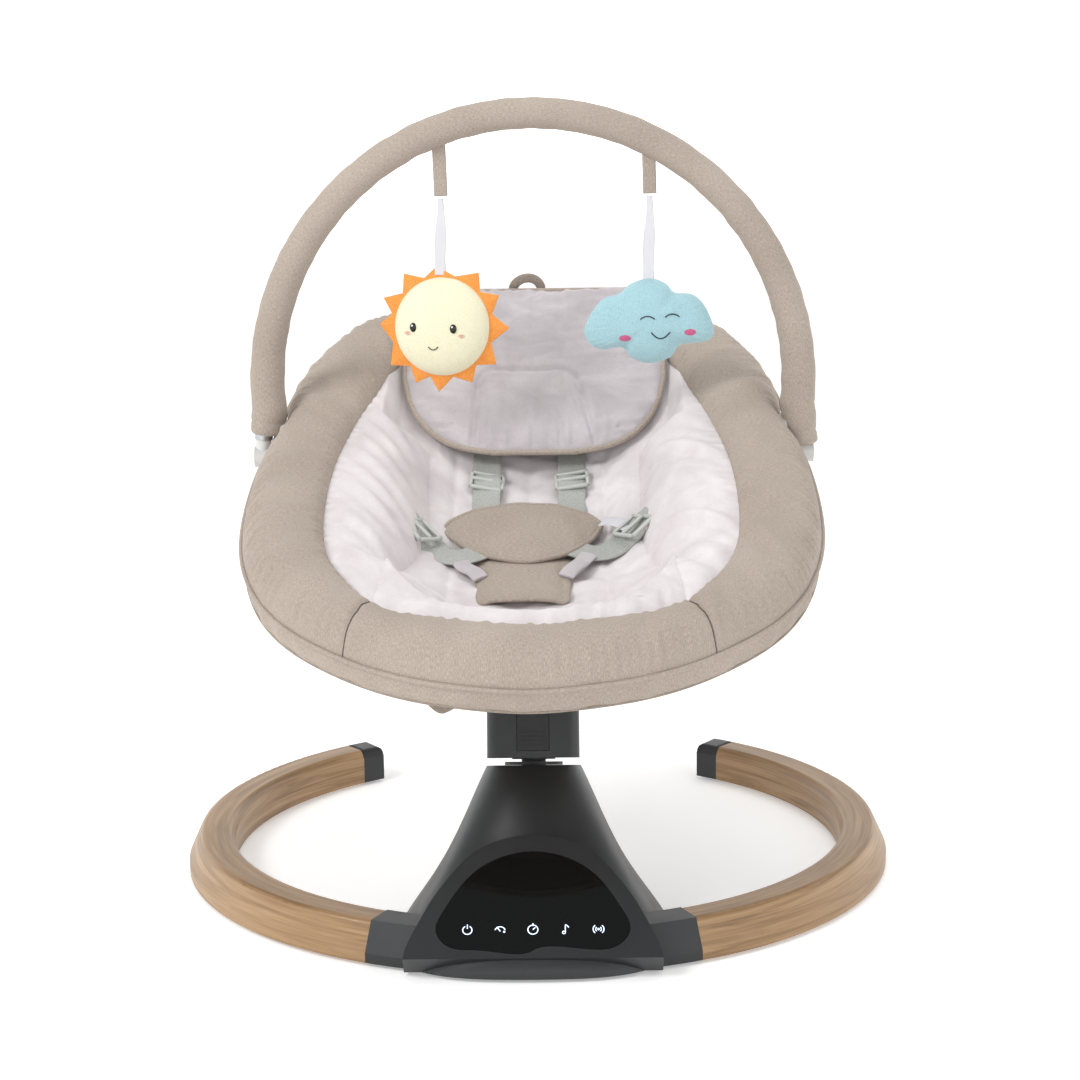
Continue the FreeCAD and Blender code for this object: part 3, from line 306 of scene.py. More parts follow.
# materials
def clothMaterial(name, tones, threadMm, roughness, sheen, sheenTint, depth=0.25, coordinates="UV"):
    # yarns of mixed tones crossing at threadMm; each yarn is a ridge, so the cloth looks soft and a little
    # rough
    material, tree, shader = newMaterial(name, {"Roughness": roughness, "Sheen Weight": sheen,
                                                "Sheen Roughness": 0.45,
                                                "Sheen Tint": toLinear(sheenTint),
                                                "Specular IOR Level": 0.25})
    coords = addNode(tree, "ShaderNodeTexCoord").outputs[coordinates]
    perMetre = 2 * math.pi / 20 / (threadMm * mm)
    warp = addNode(tree, "ShaderNodeTexWave", {"bands_direction": "X"}, {"Vector": coords, "Scale": perMetre,
                                                                        "Distortion": 0.6,
                                                                         "Detail Scale": 2.0})
    weft = addNode(tree, "ShaderNodeTexWave", {"bands_direction": "Y"}, {"Vector": coords, "Scale": perMetre,
                                                                        "Distortion": 0.6,
                                                                         "Detail Scale": 2.0})
    weave = addNode(tree, "ShaderNodeMath", {"operation": "MULTIPLY"},
                    {0: warp.outputs["Fac"], 1: weft.outputs["Fac"]})
    alongX = addNode(tree, "ShaderNodeMapping", None, {"Vector": coords, "Scale": (340, 1500, 900)})
    alongY = addNode(tree, "ShaderNodeMapping", None, {"Vector": coords, "Scale": (1500, 340, 900)})
    streakX = addNode(tree, "ShaderNodeTexNoise", None,
                      {"Vector": alongX.outputs[0], "Scale": 1.0, "Detail": 3.0})
    streakY = addNode(tree, "ShaderNodeTexNoise", None,
                      {"Vector": alongY.outputs[0], "Scale": 1.0, "Detail": 3.0})
    yarns = addNode(tree, "ShaderNodeMix", {"data_type": "FLOAT"},
                    {"Factor": weave.outputs[0], "A": streakX.outputs["Fac"], "B": streakY.outputs["Fac"]})
    objectPlace = addNode(tree, "ShaderNodeTexCoord").outputs["Object"]
    cloud = addNode(tree, "ShaderNodeTexNoise", None, {"Vector": objectPlace, "Scale": 14.0, "Detail": 3.0})
    blended = addNode(tree, "ShaderNodeMath", {"operation": "MULTIPLY_ADD"},
                      {0: cloud.outputs["Fac"], 1: 0.25, 2: yarns.outputs[0]})
    colour = ramp(tree, blended.outputs[0], [(0.42, tones[0]), (0.62, tones[1]), (0.82, tones[2])])
    tree.links.new(colour, shader.inputs["Base Color"])
    height = addNode(tree, "ShaderNodeMath", {"operation": "MULTIPLY_ADD"},
                     {0: yarns.outputs[0], 1: 0.8, 2: weave.outputs[0]})
    relief = addNode(tree, "ShaderNodeBump", None, {"Height": height.outputs[0], "Strength": depth,
                                                    "Distance": 0.35 * mm})
    tree.links.new(relief.outputs[0], shader.inputs["Normal"])
    return material


def velvetMaterial(name, tones, sheenTint, pileMm=1.4):
    # short cut pile, brushed in patches: strong soft sheen, no gloss
    material, tree, shader = newMaterial(name,
                                         {"Roughness": 0.95, "Sheen Weight": 0.55, "Sheen Roughness": 0.35,
                                                "Sheen Tint": toLinear(sheenTint),
                                          "Specular IOR Level": 0.15})
    place = addNode(tree, "ShaderNodeTexCoord").outputs["Object"]
    brushed = addNode(tree, "ShaderNodeTexNoise", None, {"Vector": place, "Scale": 22.0, "Detail": 4.0,
                                                         "Roughness": 0.55, "Distortion": 0.6})
    pile = addNode(tree, "ShaderNodeTexNoise", None,
                   {"Vector": place, "Scale": 1 / (pileMm * mm), "Detail": 2.0})
    blended = addNode(tree, "ShaderNodeMath", {"operation": "MULTIPLY_ADD"},
                      {0: pile.outputs["Fac"], 1: 0.3, 2: brushed.outputs["Fac"]})
    colour = ramp(tree, blended.outputs[0], [(0.45, tones[0]), (0.65, tones[1]), (0.85, tones[2])])
    tree.links.new(colour, shader.inputs["Base Color"])
    relief = addNode(tree, "ShaderNodeBump", None, {"Height": blended.outputs[0], "Strength": 0.35,
                                                    "Distance": 0.5 * mm})
    tree.links.new(relief.outputs[0], shader.inputs["Normal"])
    return material


def mouldedPlastic(name, tone, roughness, grainMm=0.8, grain=0.12, wear=0.06, coat=0.0):
    # injection moulded: an even colour, a fine spark-eroded grain and slightly uneven gloss
    material, tree, shader = newMaterial(name,
                                         {"Base Color": toLinear(tone), "IOR": 1.53, "Coat Weight": coat})
    place = addNode(tree, "ShaderNodeTexCoord").outputs["Object"]
    uneven = addNode(tree, "ShaderNodeTexNoise", None, {"Vector": place, "Scale": 35.0, "Detail": 4.0})
    gloss = addNode(tree, "ShaderNodeMapRange", None,
                    {"Value": uneven.outputs["Fac"], "To Min": roughness - wear,
                                                       "To Max": roughness + wear})
    tree.links.new(gloss.outputs[0], shader.inputs["Roughness"])
    sparks = addNode(tree, "ShaderNodeTexNoise", None,
                     {"Vector": place, "Scale": 1 / (grainMm * mm), "Detail": 2.0})
    relief = addNode(tree, "ShaderNodeBump", None, {"Height": sparks.outputs["Fac"], "Strength": grain,
                                                    "Distance": 0.1 * mm})
    tree.links.new(relief.outputs[0], shader.inputs["Normal"])
    return material


def metalMaterial(name, tone, roughness, scratchMm=0.5):
    # turned or drawn metal: fine scratches vary the roughness
    material, tree, shader = newMaterial(name, {"Base Color": toLinear(tone), "Metallic": 1.0})
    place = addNode(tree, "ShaderNodeTexCoord").outputs["Object"]
    long = addNode(tree, "ShaderNodeMapping", None,
                   {"Vector": place, "Scale": (1 / (scratchMm * mm), 80, 80)})
    scratches = addNode(tree, "ShaderNodeTexNoise", None,
                        {"Vector": long.outputs[0], "Scale": 1.0, "Detail": 5.0})
    gloss = addNode(tree, "ShaderNodeMapRange", None,
                    {"Value": scratches.outputs["Fac"], "To Min": roughness - 0.1,
                                                       "To Max": roughness + 0.12})
    tree.links.new(gloss.outputs[0], shader.inputs["Roughness"])
    return material


def woodFoilMaterial(name):
    # printed beech-brown foil on a tube, satin lacquered: long grain that follows the ring, darker thin
    # streaks
    material, tree, shader = newMaterial(name, {"Roughness": 0.42, "IOR": 1.5, "Coat Weight": 0.15,
                                                "Coat Roughness": 0.3})
    place = addNode(tree, "ShaderNodeTexCoord").outputs["Object"]
    parts = addNode(tree, "ShaderNodeSeparateXYZ", None, {0: place})
    angle = addNode(tree, "ShaderNodeMath", {"operation": "ARCTAN2"},
                    {0: parts.outputs[0], 1: parts.outputs[1]})
    arc = addNode(tree, "ShaderNodeMath", {"operation": "MULTIPLY"}, {0: angle.outputs[0], 1: 0.29})
    flat = addNode(tree, "ShaderNodeCombineXYZ", None, {0: parts.outputs[0], 1: parts.outputs[1]})
    radius = addNode(tree, "ShaderNodeVectorMath", {"operation": "LENGTH"}, {0: flat.outputs[0]})
    grainPlace = addNode(tree, "ShaderNodeCombineXYZ", None, {0: arc.outputs[0], 1: radius.outputs["Value"],
                                                              2: parts.outputs[2]})
    stretched = addNode(tree, "ShaderNodeMapping", None,
                        {"Vector": grainPlace.outputs[0], "Scale": (5, 95, 95)})
    figure = addNode(tree, "ShaderNodeTexNoise", None,
                     {"Vector": stretched.outputs[0], "Scale": 1.0, "Detail": 6.0,
                                                        "Roughness": 0.6, "Distortion": 1.2})
    fine = addNode(tree, "ShaderNodeMapping", None,
                   {"Vector": grainPlace.outputs[0], "Scale": (16, 620, 620)})
    fibre = addNode(tree, "ShaderNodeTexNoise", None,
                    {"Vector": fine.outputs[0], "Scale": 1.0, "Detail": 3.0})
    blended = addNode(tree, "ShaderNodeMath", {"operation": "MULTIPLY_ADD"},
                      {0: fibre.outputs["Fac"], 1: 0.35, 2: figure.outputs["Fac"]})
    colour = ramp(tree, blended.outputs[0], [(0.4, "#6E5436"), (0.58, "#8A6A45"), (0.72, "#9C7C56"),
                                             (0.9, "#AE8E69")])
    tree.links.new(colour, shader.inputs["Base Color"])
    relief = addNode(tree, "ShaderNodeBump", None, {"Height": blended.outputs[0], "Strength": 0.12,
                                                    "Distance": 0.3 * mm})
    tree.links.new(relief.outputs[0], shader.inputs["Normal"])
    return material


def plushMaterial(name, tones, sheenTint, tuftMm=1.6, relief=0.6):
    # short fluffy pile drawn as coarse tufts
    material, tree, shader = newMaterial(name,
                                         {"Roughness": 0.95, "Sheen Weight": 0.7, "Sheen Roughness": 0.5,
                                                "Sheen Tint": toLinear(sheenTint),
                                          "Specular IOR Level": 0.1})
    place = addNode(tree, "ShaderNodeTexCoord").outputs["Object"]
    tufts = addNode(tree, "ShaderNodeTexVoronoi", None, {"Vector": place, "Scale": 1 / (tuftMm * mm)})
    hair = addNode(tree, "ShaderNodeTexNoise", None, {"Vector": place, "Scale": 900.0, "Detail": 4.0})
    soft = addNode(tree, "ShaderNodeMath", {"operation": "MULTIPLY_ADD"},
                   {0: hair.outputs["Fac"], 1: 0.6, 2: tufts.outputs["Distance"]})
    # the colour darkens from each tuft's middle to its edges, where the bump sinks: painted shade between
    # the tufts
    colour = ramp(tree, soft.outputs[0], [(0.25, tones[2]), (0.6, tones[1]), (1.0, tones[0])])
    tree.links.new(colour, shader.inputs["Base Color"])
    bumpNode = addNode(tree, "ShaderNodeBump", {"invert": True},
                       {"Height": soft.outputs[0], "Strength": relief,
                                                                 "Distance": 0.6 * mm})
    tree.links.new(bumpNode.outputs[0], shader.inputs["Normal"])
    return material


blackAbs = mouldedPlastic("satinBlackAbs", "#1B1D1F", 0.4)
blackDeep = mouldedPlastic("blackAbsDeep", "#131415", 0.5)
blackRubber = mouldedPlastic("softBlackRubber", "#1D1E1F", 0.75, grainMm=1.0, grain=0.25)
whiteNylon = mouldedPlastic("whiteNylon", "#CDCDCB", 0.4)
greyAcetal = mouldedPlastic("greyAcetal", "#B9BCB6", 0.32, grain=0.05)
circuitGreen = mouldedPlastic("solderMaskGreen", "#14452A", 0.35)
woodFoil = woodFoilMaterial("beechPrintedFoil")
steel = metalMaterial("zincPlatedSteel", "#B8BABC", 0.35)
copper = metalMaterial("enamelledCopper", "#B4683A", 0.3)
taupeCloth = clothMaterial("taupeMelangePolyester", ("#8E8277", "#A2968B", "#B5AA9F"), 1.5, 0.85, 0.25,
                           "#D8CFC6")
# a darker copy of the taupe cloth for the pieces under and behind the seat: painted shade
taupeShaded = clothMaterial("taupeMelangePaintedShade", ("#7A6F64", "#8E8378", "#A2978C"), 1.5, 0.88, 0.2, "#C9C0B6")
liningVelvet = velvetMaterial("whiteLilacVelvet", ("#CCC5C6", "#D6D0D1", "#E0DBDB"), "#F0ECEC")
cushionVelvet = velvetMaterial("lilacGreyVelvet", ("#ACA6A9", "#B9B3B6", "#C5C0C2"), "#DDD8DE")
webbing = clothMaterial("greyGreenWebbing", ("#8E908B", "#A5A7A2", "#B8B9B5"), 1.9, 0.6, 0.15, "#E0E2DC",
                        depth=0.5)

# dark colour for the cords in the radial seams: painted shade in their grooves
seamShadow = mouldedPlastic("paintedSeamShade", "#5E544B", 0.9)
whiteSatin, tree, shader = newMaterial("whiteSatinRibbon",
                                       {"Base Color": toLinear("#CFCFD4"), "Roughness": 0.35,
                                                            "Sheen Weight": 0.2, "Anisotropic": 0.5})
satinPlace = addNode(tree, "ShaderNodeTexCoord").outputs["Object"]
satinWeft = addNode(tree, "ShaderNodeTexWave", {"bands_direction": "Z"},
                    {"Vector": satinPlace, "Scale": 350.0})
satinRelief = addNode(tree, "ShaderNodeBump", None, {"Height": satinWeft.outputs["Fac"], "Strength": 0.2,
                                                     "Distance": 0.1 * mm})
tree.links.new(satinRelief.outputs[0], shader.inputs["Normal"])
creamPlush = plushMaterial("creamPlush", ("#E4E0C0", "#ECE8CE", "#F2EFDA"), "#FFFFF0", tuftMm=0.9,
                           relief=0.35)
orangeFelt = plushMaterial("orangeFelt", ("#E38E42", "#F2A055", "#F8B06C"), "#FFD9A8", tuftMm=0.9,
                           relief=0.3)
cloudPlush = plushMaterial("blueVelboa", ("#98BEC7", "#A6C9D0", "#B6D4DA"), "#E6F6FA", tuftMm=0.9,
                           relief=0.4)
beadBlack = mouldedPlastic("glossBlackBead", "#0C0C0D", 0.12, grain=0.02, wear=0.02)
# white for the eyes' glints: painted highlight
glintWhite = mouldedPlastic("paintedGlintWhite", "#F4F4F2", 0.6)
threadBrown = mouldedPlastic("brownThread", "#4A3A30", 0.7)
threadBlush = mouldedPlastic("blushThread", "#D9A79A", 0.7)
threadNavy = mouldedPlastic("navyThread", "#25303C", 0.7)
threadPink = plushMaterial("pinkEmbroidery", ("#B9557C", "#C9668C", "#D67C9E"), "#FFC0D8", tuftMm=0.8,
                           relief=0.3)

# the black acrylic pane: deep, polished, with a faint smudge in its gloss
touchAcrylic, tree, shader = newMaterial("polishedBlackAcrylic",
                                         {"Base Color": toLinear("#060708"), "IOR": 1.49,
                                                                 "Specular IOR Level": 0.25})
place = addNode(tree, "ShaderNodeTexCoord").outputs["Object"]
smudge = addNode(tree, "ShaderNodeTexNoise", None, {"Vector": place, "Scale": 30.0, "Detail": 3.0})
gloss = addNode(tree, "ShaderNodeMapRange", None,
                {"Value": smudge.outputs["Fac"], "To Min": 0.03, "To Max": 0.09})
tree.links.new(gloss.outputs[0], shader.inputs["Roughness"])

# symbols lit from behind
litSymbol, tree, shader = newMaterial("litSymbolWhite", {"Base Color": toLinear("#C8D8F0"), "Roughness": 0.4,
                                                         "Emission Color": toLinear("#C4D6F2"),
                                                         "Emission Strength": 1.6})
print("materials made")

cadFinishes = {
    blackAbs: ("tower_cover", "neck_collar", "neck_block", "end_cap_left", "end_cap_right",
               "bearing_housing"),
    blackDeep: ("tower_base_plate", "release_button", "seat_bracket", "side_clamp_left", "side_clamp_right",
                "speaker", "power_inlet", "coil_carrier", "neck_shaft", "leg_tongue_left",
                "leg_tongue_right"),
    blackRubber: ("rubber_feet",),
    woodFoil: ("leg_left", "leg_right"),
    touchAcrylic: ("touch_glass",),
    circuitGreen: ("touch_circuit_board",),
    steel: ("upper_bearing", "lower_bearing", "base_screws", "swing_lever", "drive_magnet",
            "recline_pin", "latch_spring", "seat_frame_front", "seat_frame_rear", "cradle_tube", "bar_tube"),
    copper: ("drive_coil",),
    whiteNylon: ("bar_socket_left", "bar_socket_right", "bar_foot_left", "bar_foot_right"),
}
for material, names in cadFinishes.items():
    for name in names:
        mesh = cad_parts[name].data
        mesh.materials.clear()
        mesh.materials.append(material)
print("frame pieces finished")


# the lit symbols, drawn on the sloping pane: x across and y up the slope
panel = {"origin": (0, -316, 16), "slope": math.radians(43), "out": 3.0, "rowHeight": 26.5, "spacing": 25.5,
         "stroke": 0.75}


def panelPoint(x, y, out):
    c, s = math.cos(panel["slope"]), math.sin(panel["slope"])
    ox, oy, oz = panel["origin"]
    x, y, out = np.broadcast_arrays(np.asarray(x, float), np.asarray(y, float), np.asarray(out, float))
    return np.stack([ox + x, oy + y * c - out * s, oz + y * s + out * c], axis=-1)


def arcLine(cx, cy, radius, start, end, count=26):
    angle = np.radians(np.linspace(start, end, count))
    return np.stack([cx + radius * np.cos(angle), cy + radius * np.sin(angle)], axis=1)


def strokeOn(lines, width):
    # each line becomes a flat bar 0.25 mm high that stands on the pane
    meshes = []
    for number, line in enumerate(lines):
        line = np.asarray(line, float)
        path = panelPoint(line[:, 0], line[:, 1], panel["out"] + 0.12)
        normal = panelPoint(0, 0, 1) - panelPoint(0, 0, 0)
        meshes.append(sweep(f"stroke{number}", path, ellipseSection(width, 0.25, 8, 4.0), up=normal))
    return meshes


def joined(name, objects):
    # several meshes as one piece
    bpy.ops.object.select_all(action="DESELECT")
    for piece in objects:
        piece.select_set(True)
    bpy.context.view_layer.objects.active = objects[0]
    bpy.ops.object.join()
    objects[0].name = name
    objects[0].data.name = name
    return objects[0]


row = panel["rowHeight"]
symbols = {
    "symbolPower": [arcLine(0, 0, 3.6, 120, 420), [(0, 1.2), (0, 3.0), (0, 4.8)]],
    "symbolSpeed": [arcLine(0, -1.5, 4.2, 20, 160), [(0.2, -1.2), (-1.2, 0.6), (-2.6, 2.4)],
                    arcLine(3.2, -1.6, 0.5, 0, 350, 10)],
    "symbolTimer": [arcLine(0, 0, 3.9, 0, 355, 34), [(0, 0), (0.9, 0.9), (1.9, 1.9)],
                    [(0, 3.2), (0, 4.4), (0, 5.4)]],
    "symbolMusic": [arcLine(-1.4, -2.6, 1.1, 0, 350, 14), [(-0.3, -2.6), (-0.3, 1.0), (-0.3, 4.0)],
                    [(-0.3, 4.0), (1.2, 3.2), (2.4, 1.6)]],
    "symbolSound": [arcLine(0, 0, 0.6, 0, 350, 10), arcLine(0, 0, 2.2, -50, 50, 14),
                    arcLine(0, 0, 2.2, 130, 230, 14),
                    arcLine(0, 0, 4.2, -50, 50, 18), arcLine(0, 0, 4.2, 130, 230, 18)],
}
for number, (name, lines) in enumerate(symbols.items()):
    x = (number - 2) * panel["spacing"]
    moved = [np.asarray(line, float) + (x, row) for line in lines]
    symbol = joined(name, strokeOn(moved, panel["stroke"]))
    finishPiece(symbol, "base", litSymbol)
print("panel lit")


# padded border round the rim
border = {"columns": 1080, "rows": 64, "seams": (26, 334), "gather": 1.5, "swell": 1.3,
          "section": [(0, 12), (0.03, 17), (0.12, 23.5), (0.28, 27.6), (0.45, 29), (0.62, 27.6), (0.78, 23),
                      (0.9, 15), (0.975, 6), (1, -2), (1.006, -8), (1, -15), (0.985, -21), (0.93, -25),
                      (0.75, -26.5), (0.4, -26.5), (0.15, -25), (0.03, -20), (0, -8), (0, 4)]}


def underCushion(u, v):
    # 1 where the head cushion lies on the border, falling to 0 over 20 mm at its edges
    side = np.clip((138 - np.abs(u)) / 18, 0, 1)
    head = np.clip((v - 190) / 25, 0, 1)
    return side * side * (3 - 2 * side) * head * head * (3 - 2 * head)


def borderGrid():
    # closed section (t, w) at every direction, t from 0 at the opening to 1 at the rim;
    # the height gains gathers of 8 to 20 mm pitch by the outer seam and swells of 60 to 150 mm on the crown
    angle = np.arange(border["columns"]) * 2 * math.pi / border["columns"]
    inner, outer = reachOf(openingOutline, angle), reachOf(rimOutline, angle)
    section = np.array(border["section"], float)
    section[:, 0] *= 70
    section = smoothCurve(section, border["rows"], closed=True)
    t, w = section[:, :1] / 70, section[:, 1:]
    reach = inner + (outer - inner) * t
    arc = np.cumsum(np.hypot(np.diff(outer, append=outer[0]), outer * 2 * math.pi / border["columns"]))
    onTop = np.clip((w + 4) / 12, 0, 1)
    sides = 0.45 + 0.55 * np.abs(np.sin(angle))
    gathers = waves(arc, 3, 1 / 20, 1 / 8, 9) * bump(t, 0.9, 0.16) * border["gather"] * sides
    inward = waves(arc, 5, 1 / 24, 1 / 10, 8) * bump(t, 0.06, 0.1) * border["gather"] * 0.7
    swells = waves(arc, 4, 1 / 150, 1 / 60, 6) * np.sin(math.pi * np.clip(t, 0, 1)) * border["swell"]
    drag = waves(arc + 40 * t, 8, 1 / 60, 1 / 26, 7) * np.sin(math.pi * np.clip(t, 0, 1)) * 0.8
    lift = (gathers + inward + swells + drag) * onTop
    band = waves(arc, 6, 1 / 70, 1 / 25, 7) * bump(w, -13, 8) * 1.1 * (t > 0.5)
    for seam in border["seams"]:
        away = (np.degrees(angle) - seam + 180) % 360 - 180
        lift = lift - 3.2 * bump(away * 4.7, 0, 2.4) * onTop
        lift = lift - 0.7 * waves(t * 60, 11, 0.03, 0.1, 4) * bump(away * 4.7, 0, 14) * onTop
    u, v = outlinePoint(reach + band, angle)
    w = w + lift
    flat = underCushion(u, v)
    w = np.where(w > -2, w + flat * (np.minimum(w * 0.36, 10.5) - w), w)
    u = u - np.sign(u) * 6 * bump(v, 82, 34) * np.clip(t - 0.6, 0, 0.4) / 0.4
    return seatPoint(u, v, w), arc, section


points, arc, section = borderGrid()
around = np.concatenate([[0], np.cumsum(np.linalg.norm(np.diff(np.vstack([section, section[:1]]), axis=0),
                                                       axis=1))])
uv = np.stack(np.meshgrid(around, np.append(0, arc), indexing="ij"), axis=-1) * mm
borderPiece = gridMesh("border", points, closeRows=True, closeColumns=True, uv=uv)
finishPiece(borderPiece, "seat", taupeCloth, ["seat_border"])

# a dark cord laid in each radial seam's groove: painted shade
for number, seam in enumerate(border["seams"]):
    column = points[np.arange(len(section)), round(seam / 360 * border["columns"]) % border["columns"]]
    shown = np.flatnonzero((section[:, 1] > -3) & (section[:, 0] > 1))
    threadAndSeamShade = sweep(f"panelSeam{number}", smoothCurve(column[shown] + (0, 0, 0.4), 60),
                   ellipseSection(1.1, 1.1, 8))
    finishPiece(threadAndSeamShade, "seat", seamShadow, ["seat_border"])

# piped cord sewn round the rim, and a thinner cord below it
angle = np.linspace(0, 2 * math.pi, 720, endpoint=False)
rim = reachOf(rimOutline, angle)
u, v = outlinePoint(rim + 0.9, angle)
rimPiping = sweep("rimPiping", seatPoint(u, v, -2.5), ellipseSection(4, 4, 12), up=(0, -0.32, 0.95),
                  closed=True)
finishPiece(rimPiping, "seat", taupeCloth, ["seat_border"])
# the lower cord wears the darker taupe copy: painted shade along the border's lower edge
u, v = outlinePoint(rim - 2.2, angle)
lowerPiping = sweep("lowerPiping", seatPoint(u, v, -22.8), ellipseSection(3, 3, 10), up=(0, -0.32, 0.95),
                    closed=True)
finishPiece(lowerPiping, "seat", taupeShaded, ["seat_border"])
print("border made")


cushion = {"path": [(98, -31), (122, -25), (150, -17), (178, -8), (205, 3), (230, 13), (255, 19.5),
                    (285, 20), (310, 20), (341, 19)],
           "halfWidth": [(0, 34), (1, 44), (3, 57), (6, 68), (11, 79), (18, 89), (28, 98), (42, 107),
                         (62, 115), (90, 120), (120, 121), (165, 118), (205, 113), (232, 108), (242, 103),
                         (250, 94), (255, 80)],
           "thick": 11}

# white lining: two side bolsters, the back pad and the front lip
lining = {"seamHeight": 12, "depth": 9,
          "innerSeam": [(127, -238), (124, -195), (116, -140), (104, -80), (98, -20), (99, 60), (100, 150),
                        (97, 215), (88, 255)]}


def cushionLift(u):
    # how far the head cushion's sides ride up the bolsters, 9 (u / 121)^2.4
    return 9 * np.minimum(np.abs(u) / 121, 1.1) ** 2.4


def belowCushion(u, v, w):
    # w held under the head cushion's underside where the cushion lies, easing out over 14 mm beyond its side
    line = np.array(cushion["path"], float)
    under = np.interp(v, line[:, 0], line[:, 1]) - 8.5 + cushionLift(u)
    over = np.clip((137 - np.abs(u)) / 14, 0, 1) * np.clip((v - 93) / 10, 0, 1)
    return w + (np.minimum(w, under) - w) * over * over * (3 - 2 * over)


def bolsterGrid(side):
    # rows from the foot end to the head, columns from the border's seam down a convex fall to the inner seam
    # w = inner + (12 - inner)(1 - s^2.2)^0.8 with diagonal folds of 25 to 70 mm pitch
    rows, columns = 150, 56
    inner = smoothCurve(lining["innerSeam"], rows)
    along = np.linspace(math.atan2(127, 238), math.pi - math.atan2(88, 255), rows)
    reach = reachOf(openingOutline, along)
    outer = np.stack(outlinePoint(reach, along), axis=1)
    inner[:, 0] -= 5
    s = 0.5 - 0.5 * np.cos(np.linspace(0, 1, columns) * math.pi)
    r = np.linspace(0, 1, rows)[:, None]
    u = outer[:, :1] + (inner[:, :1] - outer[:, :1]) * s
    v = outer[:, 1:] + (inner[:, 1:] - outer[:, 1:]) * s
    low = np.minimum(sittingDepth(inner[:, 0], inner[:, 1]), lining["seamHeight"])[:, None]
    fall = (1 - s ** 2.2) ** 0.8
    w = low + (lining["seamHeight"] - low) * fall
    full = np.sin(math.pi * s) * np.sin(math.pi * r) ** 0.35
    folds = waves(v + 0.9 * u * side, 21 + side, 1 / 70, 1 / 22, 8) * 2.8
    tucks = waves(v * 1.0, 31 + side, 1 / 18, 1 / 9, 8) * (bump(s, 0.04, 0.08) + bump(s, 0.97, 0.07)) * 1.0
    w = w + (3.4 + folds) * full + tucks * np.sin(math.pi * r) ** 0.5
    w[:, -1] = low[:, 0] - 5
    w = belowCushion(u, v, w)
    top = seatPoint(side * u, v, w)
    bottom = seatPoint(side * u, v, w - lining["depth"] * np.minimum(full * 2, 1))
    return top, bottom


def addSubdivision(piece, levels=1):
    subdivision = piece.modifiers.new("smooth", "SUBSURF")
    subdivision.levels = subdivision.render_levels = levels
    return piece


for side, word in ((-1, "left"), (1, "right")):
    bolster = pillowMesh(f"bolster_{word}", *bolsterGrid(side))
    addSubdivision(finishPiece(bolster, "seat", liningVelvet, [f"side_bolster_{word}"]))


def backGrid():
    # rows from the lip to the head, columns between the inner seams; four lengthwise channels and cross
    # creases
    rows, columns = 170, 90
    v = np.linspace(-232, 250, rows)[:, None]
    seamLine = smoothCurve(lining["innerSeam"], 400)
    half = np.interp(v[:, 0], seamLine[:, 1], seamLine[:, 0])[:, None]
    a = np.linspace(-1, 1, columns)
    u = half * a
    r = (v + 232) / 482
    edge = np.minimum(sittingDepth(half, v), 12) - 1
    w = sittingDepth(u, v)
    plump = (1 - np.abs(a) ** 5) * np.clip(np.minimum(r, 1 - r) * 9, 0, 1) ** 0.5
    w = edge + (w + 5 - edge) * (1 - np.abs(a) ** 8) ** 0.6
    channels = -2.6 * (bump(u, -72, 4) + bump(u, 64, 4)) - 1.8 * bump(u, -4, 5) * (v > 20)
    creases = waves(v + 0.35 * u, 41, 1 / 60, 1 / 22, 8) * 1.3 + waves(v - 0.8 * u, 42, 1 / 50, 1 / 18,
                                                                       7) * 0.8
    w = belowCushion(u, v, w + (channels + creases) * plump)
    top = seatPoint(u, v, w)
    bottom = seatPoint(u, v, w - 10 * plump)
    return top, bottom


backPad = pillowMesh("backPad", *backGrid())
addSubdivision(finishPiece(backPad, "seat", liningVelvet, ["back_pad"]))


def lipGrid():
    # rows across from the border's seam to the sitting surface, columns from side to side along the opening
    rows, columns = 40, 130
    angle = np.linspace(-0.54, 0.54, columns)
    reach = reachOf(openingOutline, angle)
    s = np.linspace(0, 1, rows)[:, None]
    u, v = outlinePoint(reach - s * 66, angle)
    crest = 12 + 6 * np.sin(math.pi * np.clip(s * 1.5, 0,
                                              1)) ** 0.8 * np.cos(angle / 0.54 * math.pi / 2) ** 0.4
    floor = np.minimum(sittingDepth(u, v) + 5, 12)
    blendIn = np.clip((s - 0.3) / 0.7, 0, 1) ** 1.4
    w = crest + (floor - crest) * blendIn
    ends = np.cos(angle / 0.54 * math.pi / 2) ** 0.4
    puckers = waves(u, 51, 1 / 30, 1 / 9, 9) * 1.1 * np.sin(math.pi * s) ** 0.5
    w = w + puckers * ends - 3 * (s > 0.99) - 7 * (1 - ends)
    top = seatPoint(u, v, w)
    bottom = seatPoint(u, v, w - 9 * np.sin(math.pi * s) ** 0.6 * ends)
    return top, bottom


frontLip = pillowMesh("frontLip", *lipGrid())
addSubdivision(finishPiece(frontLip, "seat", liningVelvet, ["seat_lip"]))
print("lining made")


# head cushion: a flat pillow laid over the head end, piped in taupe


def cushionLine(b):
    # place and lift direction on the cushion's middle line at distance b from its lower edge
    line = smoothCurve(cushion["path"], 400)
    length = np.concatenate([[0], np.cumsum(np.linalg.norm(np.diff(line, axis=0), axis=1))])
    b = b * length[-1]
    v, w = np.interp(b, length, line[:, 0]), np.interp(b, length, line[:, 1])
    dv = np.interp(b, length, np.gradient(line[:, 0]))
    dw = np.interp(b, length, np.gradient(line[:, 1]))
    size = np.hypot(dv, dw)
    return v, w, -dw / size, dv / size


def cushionHalf(b):
    widths = np.array(cushion["halfWidth"], float)
    widths[:, 0] /= widths[-1, 0]
    return np.interp(b, widths[:, 0], widths[:, 1])


def neckSeam(x, along):
    # groove depth of the stitched inverted U: distance to a rounded box 106 wide and 118 high
    dx = np.abs(x + 4 + 0.06 * (along - 60)) - (57 - 0.12 * along)
    dy = along - 104
    outside = np.hypot(np.maximum(dx + 16, 0), np.maximum(dy + 16, 0)) - 16
    distance = np.where((dx < -16) | (dy < -16), np.maximum(dx, dy), outside)
    return bump(distance, 0, 2.2)


